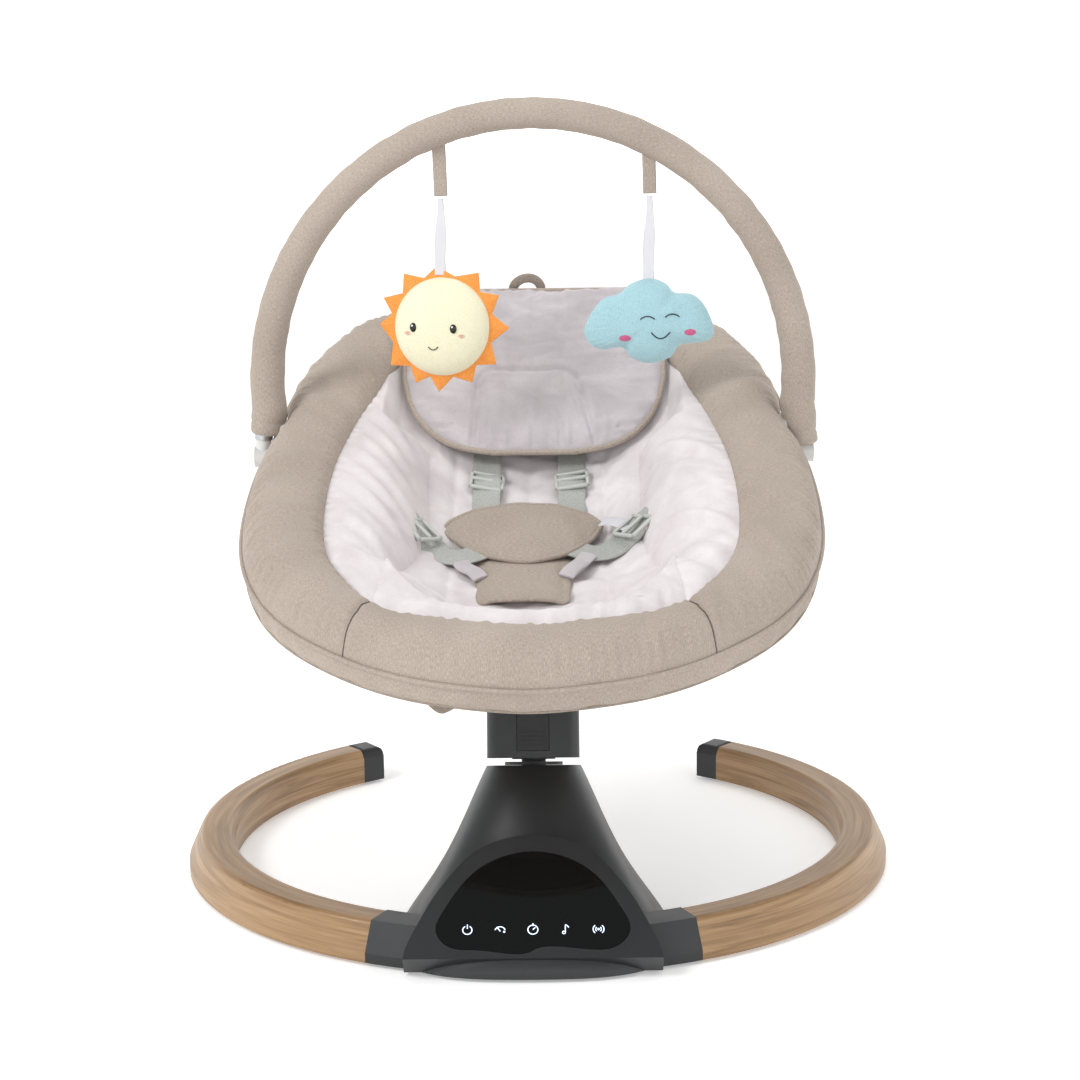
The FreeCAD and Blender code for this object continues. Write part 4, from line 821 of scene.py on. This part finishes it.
def cushionGrid():
    # b along the cushion and a across; thickness 11 (1 - a^6)^0.5 (1 - c^8)^0.5 above and 60% of it below
    rows, columns = 150, 120
    b = 0.5 - 0.5 * np.cos(np.linspace(0, 1, rows) * math.pi)
    a = np.sin(np.linspace(-1, 1, columns) * math.pi / 2)
    v, w, liftV, liftW = (part[:, None] for part in cushionLine(b))
    half = cushionHalf(b)[:, None]
    along = b[:, None] * 255
    x = half * a
    c = 2 * b[:, None] - 1
    full = np.sqrt((1 - np.abs(a) ** 5) * (1 - np.abs(c) ** 7))
    edge = np.clip(1 - full, 0, 1)
    perimeter = np.where(np.abs(a) > np.abs(c), along, x)
    puckers = waves(perimeter, 61, 1 / 26, 1 / 9, 9) * 1.6 * bump(edge, 0.35, 0.3)
    creases = waves(x + 0.5 * along, 62, 1 / 90, 1 / 35, 6) * 0.9
    creases = creases + waves(along - 0.4 * x, 63, 1 / 70, 1 / 26, 6) * 0.8
    top = cushion["thick"] * full + (puckers + creases) * full - 5.2 * neckSeam(x, along) * full
    under = cushion["thick"] * 0.6 * full
    w = w + cushionLift(x)
    upper = seatPoint(x, v + liftV * top, w + liftW * top)
    lower = seatPoint(x, v - liftV * under, w - liftW * under)
    return upper, lower


headCushion = pillowMesh("headCushion", *cushionGrid())
addSubdivision(finishPiece(headCushion, "seat", cushionVelvet, ["head_cushion"]))

b = 0.5 - 0.5 * np.cos(np.linspace(0, 1, 160) * math.pi)
v, w, _, _ = cushionLine(b)
half = cushionHalf(b)
rightEdge = seatPoint(half + 0.8, v, w + cushionLift(half))
leftEdge = seatPoint(-half - 0.8, v, w + cushionLift(half))[::-1]
loop = smoothCurve(np.vstack([rightEdge, leftEdge]), 520, closed=True)
cushionPiping = sweep("cushionPiping", loop, ellipseSection(5.6, 5.6, 12), up=(0, -0.4, 0.9), closed=True)
finishPiece(cushionPiping, "seat", taupeCloth, ["head_cushion"])

# hanging loop of folded cloth behind the head end
angle = np.linspace(0, 2 * math.pi, 72, endpoint=False)
loopPath = seatPoint(-8 + 14 * np.cos(angle), 348.6 + 1.2 * np.sin(2 * angle), 20 + 13 * np.sin(angle))
hangingLoop = sweep("hangingLoop", loopPath, ellipseSection(9, 5, 16, 3.0), up=(0, 1, 0), closed=True)
# the loop wears the darker taupe copy: painted shade behind the head end
finishPiece(hangingLoop, "seat", taupeShaded, ["head_loop"])
print("head cushion made")


# discs and pads with a free outline
def outlineReach(outline, x, y):
    # distance of a closed outline from the origin in the direction of (x, y)
    dense = smoothCurve(outline, 720, closed=True)
    angle = np.arctan2(dense[:, 1], dense[:, 0])
    order = np.argsort(angle)
    return np.interp(np.arctan2(y, x), angle[order], np.hypot(*dense.T)[order], period=2 * math.pi)


def discMesh(name, outline, place, rings=26, columns=180, roundness=(2.4, 0.6)):
    # closed pad: rings run from the middle of the front to the outline and back behind it;
    # place(x, y, h) gives the point, h from 1 at the front's middle to -1 behind, |h| = (1 - r^a)^b
    line = smoothCurve(outline, columns, closed=True)
    r = np.sin(np.linspace(0.02, 1, rings) * math.pi / 2)
    r = np.concatenate([r, r[-2::-1]])[:, None]
    side = np.concatenate([np.ones(rings), -np.ones(rings - 1)])[:, None]
    h = side * np.clip(1 - r ** roundness[0], 0, 1) ** roundness[1]
    points = place(line[:, 0] * r, line[:, 1] * r, h * np.ones(columns))
    closing = np.vstack([line, line[:1]])
    uv = np.stack([closing[:, 0] * r, closing[:, 1] * r], axis=-1) * mm
    return gridMesh(name, points, closeColumns=True, capRows=True, uv=uv)


# harness: webbing on the back pad, slide adjusters, winged flap and crotch pad
seatUp = (0, -math.sin(seat["incline"]), math.cos(seat["incline"]))
harness = {"width": 25, "thick": 2.0, "lift": 7.5}


def strapPiece(name, places, node, width=25.0):
    # flat webbing swept through (u, v, w) places
    line = smoothCurve(np.array(places, float), 90)
    path = seatPoint(line[:, 0], line[:, 1], line[:, 2])
    strap = sweep(name, path, ellipseSection(width, harness["thick"], 28, 7.0), up=seatUp)
    return finishPiece(strap, "seat", webbing, [node])


def onPad(u, v, lift):
    return (u, v, float(sittingDepth(u, v)) + lift)


for name, u, node in (("shoulderStrapLeft", -43, "shoulder_strap_left"),
                      ("shoulderStrapRight", 34, "shoulder_strap_right")):
    places = [onPad(u, 136, 9.5), onPad(u, 112, 8.8), onPad(u, 90, 9.4), onPad(u, 78, 11.5),
              onPad(u, 66, 9.6),
              onPad(u, 40, 8.4), onPad(u + 2, 16, 8.4)]
    strapPiece(name, places, node)
strapPiece("waistStrapLeft", [(-112, -24, -28), (-101, -34, -38), (-91, -44, -44), (-77, -57, -49),
                              (-60, -58, -50), (-40, -44, -51)], "waist_strap_left")
strapPiece("waistStrapRight", [(105, -16, -32), (91, -25, -40), (80, -36, -46), (66, -50, -50),
                               (50, -52, -51), (32, -40, -52)], "waist_strap_right")


def frameBars(turn, centre):
    # a slide of two rails and three bars, 31 x 24 mm, turned in its own plane by turn degrees
    c, s = math.cos(math.radians(turn)), math.sin(math.radians(turn))
    bars = []
    runs = [((-14.2, -11), (-14.2, 11), 3.4), ((14.2, -11), (14.2, 11), 3.4), ((-14.2, 11), (14.2, 11), 3.2),
            ((-14.2, 0.5), (14.2, 0.5), 3.6), ((-14.2, -11), (14.2, -11), 4.2)]
    for number, (first, last, size) in enumerate(runs):
        a = np.linspace(0, 1, 8)[:, None]
        line = np.array(first) + (np.array(last) - first) * a
        u = centre[0] + line[:, 0] * c - line[:, 1] * s
        v = centre[1] + line[:, 0] * s + line[:, 1] * c
        slope = (sittingDepth(u, v) - sittingDepth(centre[0], centre[1])) * 0.8
        rise = 1.2 if number == 3 else 0.0
        bars.append(sweep(f"bar{number}", seatPoint(u, v, centre[2] + slope + rise),
                          ellipseSection(size, 3.4, 12, 3.0),
                          up=seatUp))
    return bars


slides = []
for turn, centre in ((-4, (-43, 77, -49.4)), (3, (34, 78, -49.4)), (-52, (-97, -38, -34.0)),
                     (50, (87, -30, -37.0))):
    slides += frameBars(turn, centre)
slidePiece = joined("slideAdjusters", slides)
finishPiece(slidePiece, "seat", greyAcetal, ["strap_adjusters"])

flap = {"outline": [(-70, 10), (-61, 26), (-44, 35), (-16, 41), (14, 42), (42, 37), (58, 28), (68, 12),
                    (61, -8), (47, -29), (26, -46), (2, -53), (-24, -46), (-46, -29), (-62, -7)],
        "middle": (-9, -14),
        "height": -46.5}


def flapPoint(x, y, h):
    u, v = flap["middle"][0] + x, flap["middle"][1] + y
    droop = -0.0016 * x ** 2 - 0.0009 * (y - 10) ** 2
    ripple = 0.7 * waves(x + 0.3 * y, 71, 1 / 60, 1 / 24, 5)
    return seatPoint(u, v, flap["height"] + droop + ripple + 3.4 * h)


flapPiece = discMesh("crotchFlap", flap["outline"], flapPoint, roundness=(6, 0.5))
addSubdivision(finishPiece(flapPiece, "seat", taupeCloth, ["crotch_flap"]))
line = smoothCurve(flap["outline"], 260, closed=True) * 1.005
flapPiping = sweep("flapPiping", flapPoint(line[:, 0], line[:, 1], 0.1 * np.ones(len(line))),
                   ellipseSection(4.4, 4.4, 12),
                   up=seatUp, closed=True)
finishPiece(flapPiping, "seat", taupeCloth, ["crotch_flap"])

crotch = {"outline": [(-42, 40), (-20, 42), (20, 42), (42, 40), (44, 20), (40, -10), (38, -40), (20, -43),
                      (-20, -43), (-38, -40), (-40, -10), (-44, 20)], "middle": (-8, -92), "lift": 13.0}


def crotchPoint(x, y, h):
    u, v = crotch["middle"][0] + x, crotch["middle"][1] + y
    folds = 1.5 * bump(np.abs(x), 33, 4) * (y < 30) + 0.6 * waves(y + 0.4 * x, 72, 1 / 50, 1 / 20, 5)
    rise = sittingDepth(crotch["middle"][0], v) + crotch["lift"]
    return seatPoint(u, v, rise - folds + 4.0 * h - 0.002 * x ** 2)


crotchPiece = discMesh("crotchPad", crotch["outline"], crotchPoint, roundness=(7, 0.5))
addSubdivision(finishPiece(crotchPiece, "seat", taupeCloth, ["crotch_pad"]))

# turned-out lining folds beside the crotch pad and a blank care tag by the right adjuster
for name, places in (("lapLeft", [(-62, -68, -50), (-58, -78, -49), (-50, -84, -50), (-44, -92, -52)]),
                     ("lapRight", [(48, -60, -48), (42, -72, -48), (34, -80, -50), (28, -90, -52)])):
    line = smoothCurve(np.array(places, float), 40)
    lap = sweep(name, seatPoint(line[:, 0], line[:, 1], line[:, 2]), ellipseSection(15, 3.4, 24, 3.0),
                up=seatUp)
    finishPiece(lap, "seat", cushionVelvet, ["crotch_pad"])
line = smoothCurve(np.array([(60, -6, -46), (68, -10, -43), (77, -18, -41), (84, -26, -41)], float), 40)
careTag = sweep("careTag", seatPoint(line[:, 0], line[:, 1], line[:, 2]), ellipseSection(16, 0.6, 20, 7.0),
                up=seatUp)
finishPiece(careTag, "seat", whiteSatin, ["waist_strap_right"])
print("harness made")


# cloth sling under the seat: a thin bowl with soft creases, closed over its own thickness
def underCover():
    # u = 196 r sin t, v = -8 - 306 r cos t, w = -26 - 66 (1 - r^2)^0.5, creased along its length
    columns, rings = 360, 60
    t = np.linspace(0, 2 * math.pi, columns, endpoint=False)
    r = np.sin(np.linspace(0.01, 1, rings) * math.pi / 2)[:, None]
    shells = []
    for inset in (0.0, 2.4):
        u, v = (197 - inset) * r * np.sin(t), -8 - (307 - inset) * r * np.cos(t)
        across = waves(v + 0.5 * u, 81, 1 / 110, 1 / 40, 7) * 1.6
        lengthwise = waves(u * 1.0, 82, 1 / 90, 1 / 40, 6) * 1.2
        crease = (across + lengthwise) * (1 - r ** 6)
        shells.append(seatPoint(u, v, -26.4 - (65 - inset) * np.sqrt(np.clip(1 - r ** 2, 0, 1)) + crease))
    return gridMesh("underCover", np.vstack([shells[0], shells[1][::-1]]), closeColumns=True, capRows=True)


coverPiece = underCover()
# the sling and its fold below the front rail wear the darker taupe copy: painted shade under the seat
finishPiece(coverPiece, "seat", taupeShaded, ["under_cover"])


def foldPoint(x, y, h):
    # a flap of the sling hanging below the front rail, bellied forward at its tip
    return seatPoint(-64 + x, -313 - 2.5 * np.abs(x) / 28 + 0.45 * y, -24 + y + 1.6 * h)


foldOutline = [(-28, 9), (0, 10), (28, 9), (20, 0), (4, -11), (-6, -13), (-18, -3)]
strapFold = discMesh("strapFold", foldOutline, foldPoint, roundness=(4, 0.5))
addSubdivision(finishPiece(strapFold, "seat", taupeShaded, ["under_cover"]))
print("sling made")


# padded sleeve of the toy bar
bar = {"y": 75, "centre": 415, "radius": 238, "flare": math.radians(5), "left": 371, "right": 357,
       "sleeveLength": 950, "sleeveRadius": 13.7, "swell": 2.1}


def barPath(count):
    # flared straight legs and a half round top, evenly spaced, from the left end to the right
    arc = np.linspace(math.pi + bar["flare"], -bar["flare"], 200)
    x, z = bar["radius"] * np.cos(arc), bar["centre"] + bar["radius"] * np.sin(arc)
    legs = []
    for end, x0, z0 in ((bar["left"], x[0], z[0]), (bar["right"], x[-1], z[-1])):
        legs.append((x0 + math.copysign((z0 - end) * math.tan(bar["flare"]), x0), end))
    x = np.concatenate([[legs[0][0]], x, [legs[1][0]]])
    z = np.concatenate([[legs[0][1]], z, [legs[1][1]]])
    length = np.concatenate([[0], np.cumsum(np.hypot(np.diff(x), np.diff(z)))])
    want = np.linspace(0, length[-1], count)
    return np.stack([np.interp(want, length, x), np.full(count, float(bar["y"])),
                     np.interp(want, length, z)], axis=1)


def sleeveGrid():
    # radius 13.7 at the top to 15.8 at the legs, less at the hems, with cross creases and an inner seam
    count, around = 760, 72
    path = barPath(count)
    along = np.linspace(0, 1, count)[:, None]
    _, side, lift = pathFrames(path, (0, 1, 0))
    phi = np.arange(around) * 2 * math.pi / around
    millimetres = along * bar["sleeveLength"]
    low = np.abs(2 * along - 1)
    radius = bar["sleeveRadius"] + bar["swell"] * low ** 2
    soft = waves(millimetres + 5 * np.cos(phi), 91, 1 / 70, 1 / 22, 8) * 0.22
    sharp = waves(millimetres - 9 * np.sin(phi), 92, 1 / 26, 1 / 12, 7) * 0.1 * low
    creases = soft + sharp
    seam = -1.3 * bump((phi - 0.35 + math.pi) % (2 * math.pi) - math.pi, 0, 0.09)
    fromEnd = np.minimum(along, 1 - along) * bar["sleeveLength"]
    hem = 1 - 0.16 * np.exp(-fromEnd / 1.6) - 0.05 * bump(fromEnd, 13, 1.6)
    radius = (radius + creases + seam) * hem
    across = np.cos(phi)[None, :, None] * side[:, None]
    rise = np.sin(phi)[None, :, None] * lift[:, None]
    points = path[:, None] + radius[..., None] * (across + rise)
    uv = np.stack(np.meshgrid(millimetres[:, 0], np.arange(around + 1) * 1.25, indexing="ij"), axis=-1) * mm
    return points, uv


points, uv = sleeveGrid()
sleeve = gridMesh("barSleeve", points, closeColumns=True, capRows=True, uv=uv)
finishPiece(sleeve, "toy_bar", taupeCloth, ["bar_sleeve"])

for name, x, top, node in (("sunTab", -80, 627, "sun_tab"), ("cloudTab", 105, 616, "cloud_tab")):
    lean = 3.0 if x < 0 else 2.0
    for number, offset in enumerate((-1.3, 1.3)):
        k = np.linspace(0, 1, 24)
        apart = offset * np.minimum(1, 3 * (1 - k) + 0.25) * 0.9
        path = np.stack([x + lean * (1 - k) * 0.4, 75 + apart, 581.5 + (top - 581.5) * k], axis=1)
        ply = sweep(f"{name}{number}", path, ellipseSection(12, 1.5, 20, 6.0), up=(0, 1, 0))
        finishPiece(ply, "toy_bar", taupeCloth, [node])
print("toy bar made")


# hanging toys
def ribbonPiece(name, x, low, node, body):
    # satin strip folded over its hanger and spreading towards the toy
    k = np.linspace(0, 1, 60)
    for number, offset in enumerate((-0.6, 0.6)):
        waver = 0.7 * np.sin(k * 7 + 2 * number) * (1 - k)
        path = np.stack([x + 0.9 * np.sin(k * 5 + number), 75 + offset + waver, 579.6 + (low - 579.6) * k],
                        axis=1)
        widening = 0.5 + 0.5 * np.clip(k * 2.2, 0, 1)
        strip = sweep(f"{name}{number}", path, ellipseSection(9.4, 0.5, 20, 7.0), up=(0, 1, 0),
                      scale=widening)
        finishPiece(strip, body, whiteSatin, [node])


def stitched(name, points, width, material, body, node):
    # a thread laid on a toy's face
    threadAndSeamShade = sweep(name, points, ellipseSection(width, width, 10), up=(0, 1, 0))
    return finishPiece(threadAndSeamShade, body, material, [node])


sun = {"x": -80, "z": 466, "half": 16, "valley": 46.0,
       "rays": [(94, 54), (125, 58), (153, 58), (177, 56), (216, 58), (244, 56), (266, 59), (297, 57),
                (324, 59),
                (358, 60), (28, 58), (55, 58)]}
sunFace = [(42.2 * math.cos(a), 44 * math.sin(a)) for a in np.linspace(0, 2 * math.pi, 24, endpoint=False)]


def sunPoint(x, z, h):
    puckers = 0.35 * waves(np.arctan2(z, x) * 8, 95, 1, 4, 6) * np.clip(np.hypot(x, z) / 42 - 0.6, 0, 1)
    return np.stack(np.broadcast_arrays(sun["x"] + x, 75 - sun["half"] * h + puckers, sun["z"] + z), axis=-1)


def onSun(x, z, out=0.0):
    r = np.hypot(x, z) / outlineReach(sunFace, x, z)
    return sunPoint(x, z, np.clip(1 - r ** 2.4, 0, 1) ** 0.6) - np.array([0, out, 0])


sunDisc = discMesh("sunDisc", sunFace, sunPoint)
finishPiece(sunDisc, "toy_sun", creamPlush, ["sun_toy"])
tips = sorted((angle, reach) for angle, reach in sun["rays"])
star = []
for (a0, r0), (a1, _) in zip(tips, tips[1:] + [(tips[0][0] + 360, 0)]):
    middle = math.radians((a0 + a1) / 2)
    star.append((r0 * math.cos(math.radians(a0)), r0 * math.sin(math.radians(a0))))
    star.append((sun["valley"] * math.cos(middle), sun["valley"] * math.sin(middle)))
star = np.array(star)
part = np.linspace(0, 1, 12, endpoint=False)[:, None]
edge = np.concatenate([a + (b - a) * part for a, b in zip(star, np.roll(star, -1, 0))])
layers = []
felt = [(0.02, -1.4), (0.7, -1.4), (0.985, -1.4), (1.0, -0.9), (1.0, 0.9), (0.985, 1.4), (0.7, 1.4),
        (0.02, 1.4)]
for reach, depth in felt:
    bend = 1.6 * waves(np.arctan2(edge[:, 1], edge[:, 0]) * 2, 97, 0.5, 2, 5) * max(0, reach - 0.6)
    layers.append(np.stack([sun["x"] + edge[:, 0] * reach, 76 + depth + bend, sun["z"] + edge[:, 1] * reach],
                           axis=1))
sunRays = gridMesh("sunRays", np.array(layers), closeColumns=True, capRows=True)
finishPiece(sunRays, "toy_sun", orangeFelt, ["sun_toy"])


def beadOn(centre, depth):
    # place(x, y, h) of a small disc that stands out from centre by depth
    def place(x, z, h):
        return np.stack([centre[0] + x, centre[1] - depth * h, centre[2] + z], axis=-1)
    return place


for name, x, z in (("sunEyeLeft", -25.2, 1.0), ("sunEyeRight", 10.4, -0.6)):
    bead = [(3.0 * math.cos(a), 4.2 * math.sin(a)) for a in np.linspace(0, 2 * math.pi, 16, endpoint=False)]
    centre = onSun(np.array(x), np.array(z))
    eye = discMesh(name, bead, beadOn(centre, 2.0), rings=10, columns=40)
    finishPiece(eye, "toy_sun", beadBlack, ["sun_toy"])
    # a white disc on each bead, up and to the left: painted glint
    glint = [(0.8 * math.cos(a), 0.9 * math.sin(a)) for a in np.linspace(0, 2 * math.pi, 12, endpoint=False)]
    shine = discMesh(name + "Glint", glint, beadOn(centre + (-0.9, -1.75, 1.7), 0.4), rings=6, columns=20)
    finishPiece(shine, "toy_sun", glintWhite, ["sun_toy"])
k = np.linspace(-1, 1, 26)
stitched("sunSmile", onSun(-7.8 + 4.4 * k, -19.2 + 2.8 * k ** 2, 0.25), 0.95, threadBrown, "toy_sun",
         "sun_toy")
for name, x, z in (("sunCheekLeft", -30.2, -4.6), ("sunCheekRight", 17.6, -7.6)):
    a = np.linspace(0, 5 * math.pi, 90)
    stitched(name, onSun(x + 0.19 * a * np.cos(a), z + 0.12 * a * np.sin(a), 0.1), 0.55, threadBlush,
             "toy_sun", "sun_toy")
ribbonPiece("sunRibbon", -80, 512, "sun_ribbon", "toy_sun")

cloud = {"x": 105, "z": 469, "half": 17,
         "outline": [(-58, -7), (-52, 7), (-41, 20), (-27, 24.5), (-16.6, 33), (0, 37.8), (14, 33.3),
                     (22.3, 25), (38, 23), (49, 13), (57, -6), (55, -16.5), (44.9, -20), (27.4, -22),
                     (18.2, -33), (0, -38), (-16.6, -32.8), (-24.8, -23.6), (-43.3, -25), (-54.5, -19)]}


def cloudPoint(x, z, h):
    reach = np.hypot(x, z)
    puckers = 0.5 * waves(np.arctan2(z, x) * 6, 98, 1, 4, 6) * np.clip(reach / 40 - 0.6, 0, 1)
    lobes = 1.0 - 0.10 * bump(np.abs(x), 27, 7)
    return np.stack(np.broadcast_arrays(cloud["x"] + x, 75 - cloud["half"] * h * lobes + puckers,
                                        cloud["z"] + z), axis=-1)


def onCloud(x, z, out=0.0):
    r = np.hypot(x, z) / outlineReach(cloud["outline"], x, z)
    return cloudPoint(x, z, np.clip(1 - r ** 2.4, 0, 1) ** 0.6) - np.array([0, out, 0])


cloudBody = discMesh("cloudBody", cloud["outline"], cloudPoint, columns=260)
finishPiece(cloudBody, "toy_cloud", cloudPlush, ["cloud_toy"])
for name, x, z in (("cloudEyeLeft", -2.3, 3.0), ("cloudEyeRight", 19.7, 4.6)):
    stitched(name, onCloud(x + 6.4 * k, z + 2.6 * (1 - k ** 2), 0.3), 1.1, threadNavy, "toy_cloud",
             "cloud_toy")
stitched("cloudSmile", onCloud(9.4 + 8.4 * k, -14.4 + 5.6 * k ** 2, 0.3), 1.15, threadNavy, "toy_cloud",
         "cloud_toy")


def blushOn(x, z):
    # place(x, y, h) of a thin patch that follows the plush around (x, z)
    def place(px, pz, h):
        return onCloud(x + px, z + pz) - np.stack([0 * h, 0.35 + 0.3 * h, 0 * h], axis=-1)
    return place


for name, x, z in (("cloudCheekLeft", -22.2, -14), ("cloudCheekRight", 35.6, -9.4)):
    spot = [(5.2 * math.cos(a), 2.9 * math.sin(a)) for a in np.linspace(0, 2 * math.pi, 16, endpoint=False)]
    cheek = discMesh(name, spot, blushOn(x, z), rings=8, columns=40)
    finishPiece(cheek, "toy_cloud", threadPink, ["cloud_toy"])
ribbonPiece("cloudRibbon", 105, 504, "cloud_ribbon", "toy_cloud")
print("toys made")


# camera, light and floor
def areaLight(name, place, target, size, power, tone="#FFFFFF"):
    data = bpy.data.lights.new(name, "AREA")
    data.size = size
    data.energy = power
    data.color = toLinear(tone)[:3]
    light = bpy.data.objects.new(name, data)
    light.location = place
    light.rotation_euler = (Vector(target) - Vector(place)).to_track_quat("-Z", "Y").to_euler()
    scene.collection.objects.link(light)


# millimetres; the wall is a ring wide enough for a camera on any side to stand within it
room = {"radius": 9000, "wall": 3000, "sides": 96}


def studio():
    # pale round floor and wall, a soft key from the left, a weak fill and a light from above
    world = bpy.data.worlds.new("studioAir")
    world.use_nodes = True
    world.node_tree.nodes["Background"].inputs["Color"].default_value = (1, 1, 1, 1)
    world.node_tree.nodes["Background"].inputs["Strength"].default_value = 0.55
    scene.world = world
    areaLight("keyLight", (-1.9, -1.7, 2.3), (0, 0, 0.35), 1.0, 46)
    areaLight("fillLight", (2.4, -1.6, 1.4), (0, 0, 0.3), 1.8, 9)
    areaLight("topLight", (0.3, 0.5, 2.6), (0, 0, 0.2), 1.6, 22)
    glow = {"Base Color": toLinear("#F4F4F4"), "Roughness": 0.9, "Emission Color": (1, 1, 1, 1)}
    floorMaterial = newMaterial("paleFloor", {**glow, "Emission Strength": 0.32})[0]
    wallMaterial = newMaterial("paleBackdrop", {**glow, "Emission Strength": 0.75})[0]
    turn = np.linspace(0, 2 * math.pi, room["sides"], endpoint=False)
    ring = np.stack([np.cos(turn), np.sin(turn), np.zeros(room["sides"])], axis=1) * room["radius"]
    top = ring + np.array([0, 0, room["wall"]])
    for name, rows, material in (("floor", (0.00001 * ring, ring), floorMaterial),
                                 ("backdrop", (ring, top), wallMaterial)):
        sheet = gridMesh(name, np.array(rows), closeColumns=True)
        sheet.data.materials.append(material)


view = {"lens": 81.37, "shift": 0.006, "distance": 2.1, "height": 0.7029,
        "azimuth": math.radians(0.9), "pitch": math.radians(11.239), "roll": math.radians(0.8)}


def addCamera():
    # stands in front of the object, looks down on it a little and leans to one side by the roll
    data = bpy.data.cameras.new("camera")
    data.lens = view["lens"]
    data.sensor_width = 36
    data.shift_x = view["shift"]
    camera = bpy.data.objects.new("camera", data)
    aside, away = math.sin(view["azimuth"]), math.cos(view["azimuth"])
    camera.location = (view["distance"] * aside, -view["distance"] * away, view["height"])
    around = Matrix.Rotation(view["azimuth"], 3, "Z")
    down = Matrix.Rotation(math.pi / 2 - view["pitch"], 3, "X")
    lean = Matrix.Rotation(-view["roll"], 3, "Z")
    camera.rotation_euler = (around @ down @ lean).to_euler()
    scene.collection.objects.link(camera)
    scene.camera = camera


studio()
addCamera()
